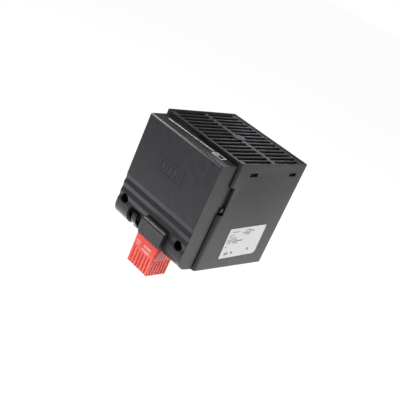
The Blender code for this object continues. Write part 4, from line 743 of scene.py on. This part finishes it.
# %% Points for the screws
SCREWS = {
    "cover_screw_left": ((0, -1, 0), 2.1), "cover_screw_right": ((0, -1, 0), 2.1),
    "socket_screw": ((0, -1, 0), 2.1), "cable_clamp_screw": ((0, -1, 0), 2.1),
    "fan_screw_1": ((0, 0, -1), 1.6), "fan_screw_2": ((0, 0, -1), 1.6),
    "fan_screw_3": ((0, 0, -1), 1.6), "fan_screw_4": ((0, 0, -1), 1.6),
    "heater_screw_left": ((0, -1, 0), 2.1), "heater_screw_right": ((0, -1, 0), 2.1),
    "rail_clip_screw_left": ((0, 1, 0), 2.1), "rail_clip_screw_right": ((0, 1, 0), 2.1),
    "terminal_screw_1": ((0, -1, 0), 1.47), "terminal_screw_2": ((0, -1, 0), 1.47),
    "terminal_screw_3": ((0, -1, 0), 1.47),
}


def screw_points():
    """A mesh of single points, one under each screw's head, with what the tree has to know."""
    seats, outs, lengths, heads = [], [], [], []
    for name, (out, height) in SCREWS.items():
        low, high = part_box(name)
        way = [abs(part) for part in out].index(1)
        top, tip = (low[way], high[way]) if out[way] < 0 else (high[way], low[way])
        seat = [(low[axis] + high[axis]) / 2 for axis in range(3)]
        seat[way] = top - out[way] * height * MM
        radius = max(high[axis] - low[axis] for axis in range(3) if axis != way) / 2
        seats.append(seat)
        outs.extend(out)
        lengths.append(abs(tip - seat[way]))
        heads.extend((radius, radius, height * MM))
    mesh = bpy.data.meshes.new("screw_points")
    mesh.from_pydata(seats, [], [])
    mesh.attributes.new("out", "FLOAT_VECTOR", "POINT").data.foreach_set("vector", outs)
    mesh.attributes.new("length", "FLOAT", "POINT").data.foreach_set("value", lengths)
    mesh.attributes.new("head", "FLOAT_VECTOR", "POINT").data.foreach_set("vector", heads)
    return mesh


print("screws:", len(SCREWS))

# %% Screw tree
SCREW, inside, outside = geometry_tree("cross_head_screw", [
    ("Shank Radius", FLOAT, 0.0015), ("Thread Depth", FLOAT, 0.0002), ("Thread Pitch", FLOAT, 0.0007),
    ("Cross Width", FLOAT, 0.22), ("Cross Length", FLOAT, 1.15), ("Seed", INTEGER, 4),
])


def attribute(tree, name, kind):
    """An attribute that the points carry."""
    made = place_node(
        tree, "GeometryNodeInputNamedAttribute", {"Name": name}, data_type=kind,
    )
    return made.outputs["Attribute"]


out_way = attribute(SCREW, "out", "FLOAT_VECTOR")
length = attribute(SCREW, "length", "FLOAT")
head_size = attribute(SCREW, "head", "FLOAT_VECTOR")

# %% Screw head
# A ball of radius 1, with its upper half flattened and its lower half pressed into a disc
ball = place_node(SCREW, "GeometryNodeMeshUVSphere", {"Segments": 24, "Rings": 14, "Radius": 1.0})
spot = place_node(SCREW, "ShaderNodeSeparateXYZ", {
    0: place_node(SCREW, "GeometryNodeInputPosition").outputs[0],
})
rise = maths(SCREW, "MULTIPLY", spot.outputs["Z"], 1.5, clamp=True)
pan = place_node(SCREW, "GeometryNodeSetPosition", {
    "Geometry": ball.outputs["Mesh"],
    "Position": trio(SCREW, spot.outputs["X"], spot.outputs["Y"], rise),
})
crossed = place_node(SCREW, "GeometryNodeMeshBoolean", {0: pan.outputs[0]}, operation="DIFFERENCE")
CROSS_HEIGHT, CROSS_MIDDLE = 1.2, 1.05
sides = (inside["Cross Width"], inside["Cross Length"])
for wide, deep in (sides, sides[::-1]):
    size = trio(SCREW, wide, deep, CROSS_HEIGHT)
    bar = place_node(SCREW, "GeometryNodeMeshCube", {"Size": size}).outputs["Mesh"]
    SCREW.links.new(moved(SCREW, bar, (0.0, 0.0, CROSS_MIDDLE)), crossed.inputs[1])
print("head ready")

# %% Heads, cores and threads on the points
aim = place_node(
    SCREW, "FunctionNodeAlignRotationToVector", {"Vector": out_way}, axis="Z",
).outputs[0]
luck = place_node(
    SCREW, "FunctionNodeRandomValue", {3: math.tau, 8: inside["Seed"]}, data_type="FLOAT",
).outputs[1]
twist = place_node(SCREW, "FunctionNodeEulerToRotation", {0: trio(SCREW, 0.0, 0.0, luck)})
facing = place_node(
    SCREW, "FunctionNodeRotateRotation", {"Rotation": aim, "Rotate By": twist.outputs[0]},
    rotation_space="LOCAL",
).outputs[0]
seats, pitch = inside["Geometry"], inside["Thread Pitch"]
heads = put_on(SCREW, seats, crossed.outputs["Mesh"], facing, head_size)

rod = place_node(SCREW, "GeometryNodeMeshCylinder", {"Vertices": 16, "Radius": 1.0, "Depth": 1.0})
hung = moved(SCREW, rod.outputs["Mesh"], (0, 0, -0.5))
core_radius = maths(SCREW, "SUBTRACT", inside["Shank Radius"], inside["Thread Depth"])
cores = put_on(SCREW, seats, hung, facing, trio(SCREW, core_radius, core_radius, length))

turns = maths(SCREW, "SUBTRACT", maths(SCREW, "DIVIDE", length, pitch), 2.0)
many = place_node(
    SCREW, "GeometryNodeDuplicateElements", {"Geometry": seats, "Amount": turns}, domain="POINT",
)
depth = maths(SCREW, "ADD", many.outputs["Duplicate Index"], 1.6)
depth = maths(SCREW, "MULTIPLY", maths(SCREW, "MULTIPLY", depth, pitch), -1.0)
stacked = place_node(SCREW, "GeometryNodeSetPosition", {
    "Geometry": many.outputs["Geometry"], "Offset": vectors(SCREW, "SCALE", out_way, depth),
})
ridge = place_node(SCREW, "GeometryNodeMeshUVSphere", {"Segments": 14, "Rings": 2, "Radius": 1.0})
thick = maths(SCREW, "MULTIPLY", pitch, 2.6)
ridge_size = trio(SCREW, inside["Shank Radius"], inside["Shank Radius"], thick)
ridges = put_on(SCREW, stacked.outputs[0], ridge.outputs["Mesh"], aim, ridge_size)
end_tree(SCREW, inside, outside, [heads, cores, ridges])

# %% Grow the screws
grown(
    "cross_head_screws", SCREW, {"Seed": 7}, "screw_steel", "heater", list(SCREWS),
    screw_points(), crease=25.0,
)

# %% [markdown]
# ## The latch spring
# The latch is pushed up by a small coil of steel wire. A spring is a path with a round section
# swept along it: the tree makes a spiral and a circle, and sweeps one along the other.

# %% Coil spring
COIL, inside, outside = geometry_tree("coil_spring", [
    ("Coil Radius", FLOAT, 0.0015), ("Wire Radius", FLOAT, 0.0002), ("Turns", FLOAT, 6.0),
    ("Length", FLOAT, 0.010), ("Foot", VECTOR, None),
])
spiral = place_node(COIL, "GeometryNodeCurveSpiral", {
    "Resolution": 28, "Rotations": inside["Turns"], "Start Radius": inside["Coil Radius"],
    "End Radius": inside["Coil Radius"], "Height": inside["Length"],
})
ring = place_node(COIL, "GeometryNodeCurvePrimitiveCircle", {
    "Resolution": 10, "Radius": inside["Wire Radius"],
})
wire = place_node(COIL, "GeometryNodeCurveToMesh", {
    "Curve": spiral.outputs[0], "Profile Curve": ring.outputs[0], "Fill Caps": True,
})
end_tree(COIL, inside, outside, [moved(COIL, wire.outputs[0], inside["Foot"])])

low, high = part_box("rail_spring")
wire_radius = 0.22 * MM
middle = ((low.x + high.x) / 2, (low.y + high.y) / 2)
spring = grown("latch_spring", COIL, {
    "Coil Radius": (high.x - low.x) / 2 - wire_radius, "Wire Radius": wire_radius, "Turns": 6.0,
    "Length": high.z - low.z - 2 * wire_radius, "Foot": (*middle, low.z + wire_radius),
}, "steel", "heater", ["rail_spring"])
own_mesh(spring)

# %% [markdown]
# ## Prints
# The heater carries a row of print on top of its cover, marks on the thermostat and a rating label
# on its side. Here they are plain bars and fields without any words. One tree lays bars out in
# rows, gives each a random width, and leaves some out, so that a row looks set like a line of
# print. Another makes an outlined field with rounded corners. Both are a hair's breadth thick, so
# that they lie on the surface, and thicker on the front of the cover, where they are moulded.

# %% Print tree
PRINT, inside, outside = geometry_tree("print_rows", [
    ("Columns", INTEGER, 10), ("Rows", INTEGER, 1), ("Column Pitch", FLOAT, 0.0015),
    ("Row Pitch", FLOAT, 0.002), ("Bar Height", FLOAT, 0.001), ("Least Width", FLOAT, 0.0008),
    ("Most Width", FLOAT, 0.0013), ("Left Out", FLOAT, 0.15), ("Thickness", FLOAT, 0.00002),
    ("Start", VECTOR, None), ("Along", VECTOR, None), ("Up", VECTOR, None), ("Seed", INTEGER, 1),
])
total = maths(PRINT, "MULTIPLY", inside["Columns"], inside["Rows"])
line = place_node(PRINT, "GeometryNodeMeshLine", {"Count": total}, mode="OFFSET")
count = place_node(PRINT, "GeometryNodeInputIndex").outputs[0]
column = maths(PRINT, "MODULO", count, inside["Columns"])
number = maths(PRINT, "FLOOR", maths(PRINT, "DIVIDE", count, inside["Columns"]), 0.0)
right = maths(PRINT, "MULTIPLY", column, inside["Column Pitch"])
below = maths(PRINT, "MULTIPLY", maths(PRINT, "MULTIPLY", number, inside["Row Pitch"]), -1.0)
across = vectors(PRINT, "SCALE", inside["Along"], right)
drop = vectors(PRINT, "SCALE", inside["Up"], below)
place = vectors(PRINT, "ADD", vectors(PRINT, "ADD", across, drop), inside["Start"])
laid = place_node(PRINT, "GeometryNodeSetPosition", {
    "Geometry": line.outputs[0], "Position": place,
})
chance = place_node(
    PRINT, "FunctionNodeRandomValue", {8: inside["Seed"]}, data_type="FLOAT",
).outputs[1]
gone = place_node(
    PRINT, "FunctionNodeCompare", {0: chance, 1: inside["Left Out"]}, data_type="FLOAT",
    operation="LESS_THAN",
)
kept = place_node(PRINT, "GeometryNodeDeleteGeometry", {
    "Geometry": laid.outputs[0], "Selection": gone.outputs[0],
}, domain="POINT")
other_seed = maths(PRINT, "ADD", inside["Seed"], 50.0)
width = place_node(PRINT, "FunctionNodeRandomValue", {
    2: inside["Least Width"], 3: inside["Most Width"], 8: other_seed,
}, data_type="FLOAT").outputs[1]
cube = place_node(PRINT, "GeometryNodeMeshCube", {"Size": (1.0, 1.0, 1.0)})
shifted = moved(PRINT, cube.outputs[0], (0.5, 0.0, 0.5))
bar_size = trio(PRINT, width, inside["Bar Height"], inside["Thickness"])
bars = put_on(PRINT, kept.outputs[0], shifted, lying_along(PRINT, inside), bar_size)
end_tree(PRINT, inside, outside, [bars])
print("print tree ready")

# %% Field tree
FIELD, inside, outside = geometry_tree("outlined_field", [
    ("Width", FLOAT, 0.01), ("Height", FLOAT, 0.006), ("Corner", FLOAT, 0.001),
    ("Line", FLOAT, 0.0005), ("Thickness", FLOAT, 0.00002), ("Start", VECTOR, None),
    ("Along", VECTOR, None), ("Up", VECTOR, None),
])
outlines = FIELD.nodes.new("GeometryNodeJoinGeometry")
for inset in (0.0, 1.0):
    less = maths(FIELD, "MULTIPLY", inside["Line"], inset)
    both = maths(FIELD, "MULTIPLY", less, 2.0)
    box = place_node(FIELD, "GeometryNodeCurvePrimitiveQuadrilateral", {
        "Width": maths(FIELD, "SUBTRACT", inside["Width"], both),
        "Height": maths(FIELD, "SUBTRACT", inside["Height"], both),
    })
    rounded = place_node(FIELD, "GeometryNodeFilletCurve", {
        "Curve": box.outputs[0], "Count": 6,
        "Radius": maths(FIELD, "SUBTRACT", inside["Corner"], less),
    }, mode="POLY")
    FIELD.links.new(rounded.outputs[0], outlines.inputs[0])
sheet = place_node(FIELD, "GeometryNodeFillCurve", {"Curve": outlines.outputs[0]}).outputs[0]
raised = place_node(FIELD, "GeometryNodeExtrudeMesh", {
    "Mesh": sheet, "Offset Scale": inside["Thickness"], "Individual": False,
})
under = place_node(FIELD, "GeometryNodeFlipFaces", {"Mesh": sheet})
way = lying_along(FIELD, inside)
end_tree(FIELD, inside, outside, [
    moved(FIELD, shape, inside["Start"], Rotation=way)
    for shape in (raised.outputs["Mesh"], under.outputs[0])
])
print("field tree ready")

# %% Several groups in one print


def printed(name, groups, corner, along, up, slot, body, finish, thickness=0.02):
    """One piece from groups of marks: each is a tree, its place along and down, and its values."""
    corner, along, up = Vector(corner), Vector(along), Vector(up)
    form = bmesh.new()
    for number, (tree, right, down, values) in enumerate(groups):
        start = corner + along * (right * MM) - up * (down * MM)
        marks = grow_mesh(f"{name}_{number}", tree, {
            "Seed": 3 + number, "Thickness": thickness * MM, **values,
            "Start": tuple(start), "Along": tuple(along), "Up": tuple(up),
        }, finish)
        form.from_mesh(marks.data)
        bpy.data.objects.remove(marks)
    bmesh.ops.remove_doubles(form, verts=form.verts, dist=0.000001)
    mesh = bpy.data.meshes.new(name)
    form.to_mesh(mesh)
    form.free()
    piece = bpy.data.objects.new(name, mesh)
    scene.collection.objects.link(piece)
    settle(piece, name, slot, body, finish=finish)
    print(name, len(mesh.polygons), "faces")


def row(right, down, columns, pitch, height, least, most, left_out=0.0, lines=1, line_pitch=2.0):
    """A group of one or more rows of bars, in millimetres."""
    return (PRINT, right, down, {
        "Columns": columns, "Rows": lines, "Column Pitch": pitch * MM,
        "Row Pitch": line_pitch * MM, "Bar Height": height * MM, "Least Width": least * MM,
        "Most Width": most * MM, "Left Out": left_out,
    })


def field(right, down, width, height, round_off, line):
    """A group of one outlined field, by its middle, in millimetres."""
    return (FIELD, right, down, {
        "Width": width * MM, "Height": height * MM, "Corner": round_off * MM, "Line": line * MM,
    })


print("groups ready")

# %% Print on top of the cover
TOP_ALONG, TOP_UP = (0.99933, 0.03664, 0.0), (-0.03664, 0.99933, 0.0)
printed("cover_print", [
    row(0.0, 0.0, 17, 1.42, 1.55, 0.70, 1.38, 0.04),
    row(25.2, 0.0, 6, 1.42, 1.55, 0.70, 1.38, 0.04),
    row(34.8, 0.0, 11, 1.42, 1.55, 0.70, 1.38, 0.04),
    field(56.7, 1.4, 10.4, 6.4, 0.9, 0.75),
    field(54.2, 1.4, 3.4, 4.2, 0.4, 1.5),
], (-31.9 * MM, -93.7 * MM, COVER_TOP * MM), TOP_ALONG, TOP_UP, "label_film", "heater", WHITE_INK)

# %% Raised field on the front of the cover
printed("cover_field", [
    field(0.0, 0.0, 25.0, 12.0, 2.0, 0.7),
    row(-9.6, 0.0, 5, 4.0, 5.6, 1.9, 3.1),
], (0.5 * MM, COVER_FRONT * MM, 15.75 * MM), (1, 0, 0), (0, 0, 1), "cover_plastic", "heater",
    FINISH["cover_plastic"], thickness=0.22)

# %% Print and disc on the thermostat
MODULE_FACE = -109.41
module_low, module_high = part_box("thermostat_module")
printed("thermostat_print", [
    row(-1.2, 44.6, 3, 1.5, 0.85, 0.8, 1.35, 0.15, lines=3, line_pitch=1.5),
    row(7.4, 44.8, 6, 1.33, 2.0, 0.75, 1.15),
    row(6.6, 48.3, 6, 1.33, 2.0, 0.75, 1.15),
], (0, MODULE_FACE * MM, 0), (1, 0, 0), (0, 0, 1), "label_film", "thermostat", PALE_INK)
disc_middle = (module_high.x, (module_low.y + module_high.y) / 2 - 3.6 * MM, -45.4 * MM)
printed("thermostat_disc", [
    field(0.0, 0.0, 10.4, 10.4, 5.19, 5.1),
], disc_middle, (0, 1, 0), (0, 0, 1), "red_plastic", "thermostat", DULL_RED)

# %% Bars and field on the rating label
LABEL_ALONG, LABEL_UP = (0.0, 0.99905, 0.04362), (0.0, -0.04362, 0.99905)
label_low, label_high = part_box("rating_label")
printed("label_print", [
    row(3.7, 4.3, 7, 1.30, 0.55, 0.8, 1.2, 0.1),
    row(1.6, 6.9, 5, 1.25, 0.60, 0.8, 1.2),
    row(1.6, 8.6, 3, 1.25, 0.60, 0.8, 1.2),
    row(4.8, 9.5, 6, 1.25, 0.65, 0.8, 1.2, 0.1),
    row(1.6, 11.2, 9, 1.25, 0.75, 0.9, 1.2, 0.05),
    row(1.6, 12.9, 15, 1.25, 0.95, 1.0, 1.24, 0.05),
    row(1.6, 14.6, 11, 1.25, 0.85, 0.9, 1.2, 0.1),
    row(2.0, 18.0, 2, 1.25, 0.70, 0.9, 1.2),
    row(4.2, 24.2, 2, 2.4, 2.6, 1.3, 2.0),
    row(11.6, 23.9, 1, 2.4, 2.2, 1.9, 2.1),
    row(30.5, 22.7, 1, 2.6, 2.6, 2.0, 2.2),
    row(16.9, 5.9, 3, 1.25, 1.1, 0.8, 1.2),
    row(26.4, 4.7, 3, 1.25, 1.1, 0.8, 1.2),
    field(23.3, 5.6, 5.0, 5.0, 0.6, 0.7),
    field(23.3, 6.2, 2.6, 2.4, 0.3, 1.15),
], (label_high.x, label_low.y, label_high.z - 0.9 * MM), LABEL_ALONG, LABEL_UP,
    "label_film", "heater", GREY_INK)
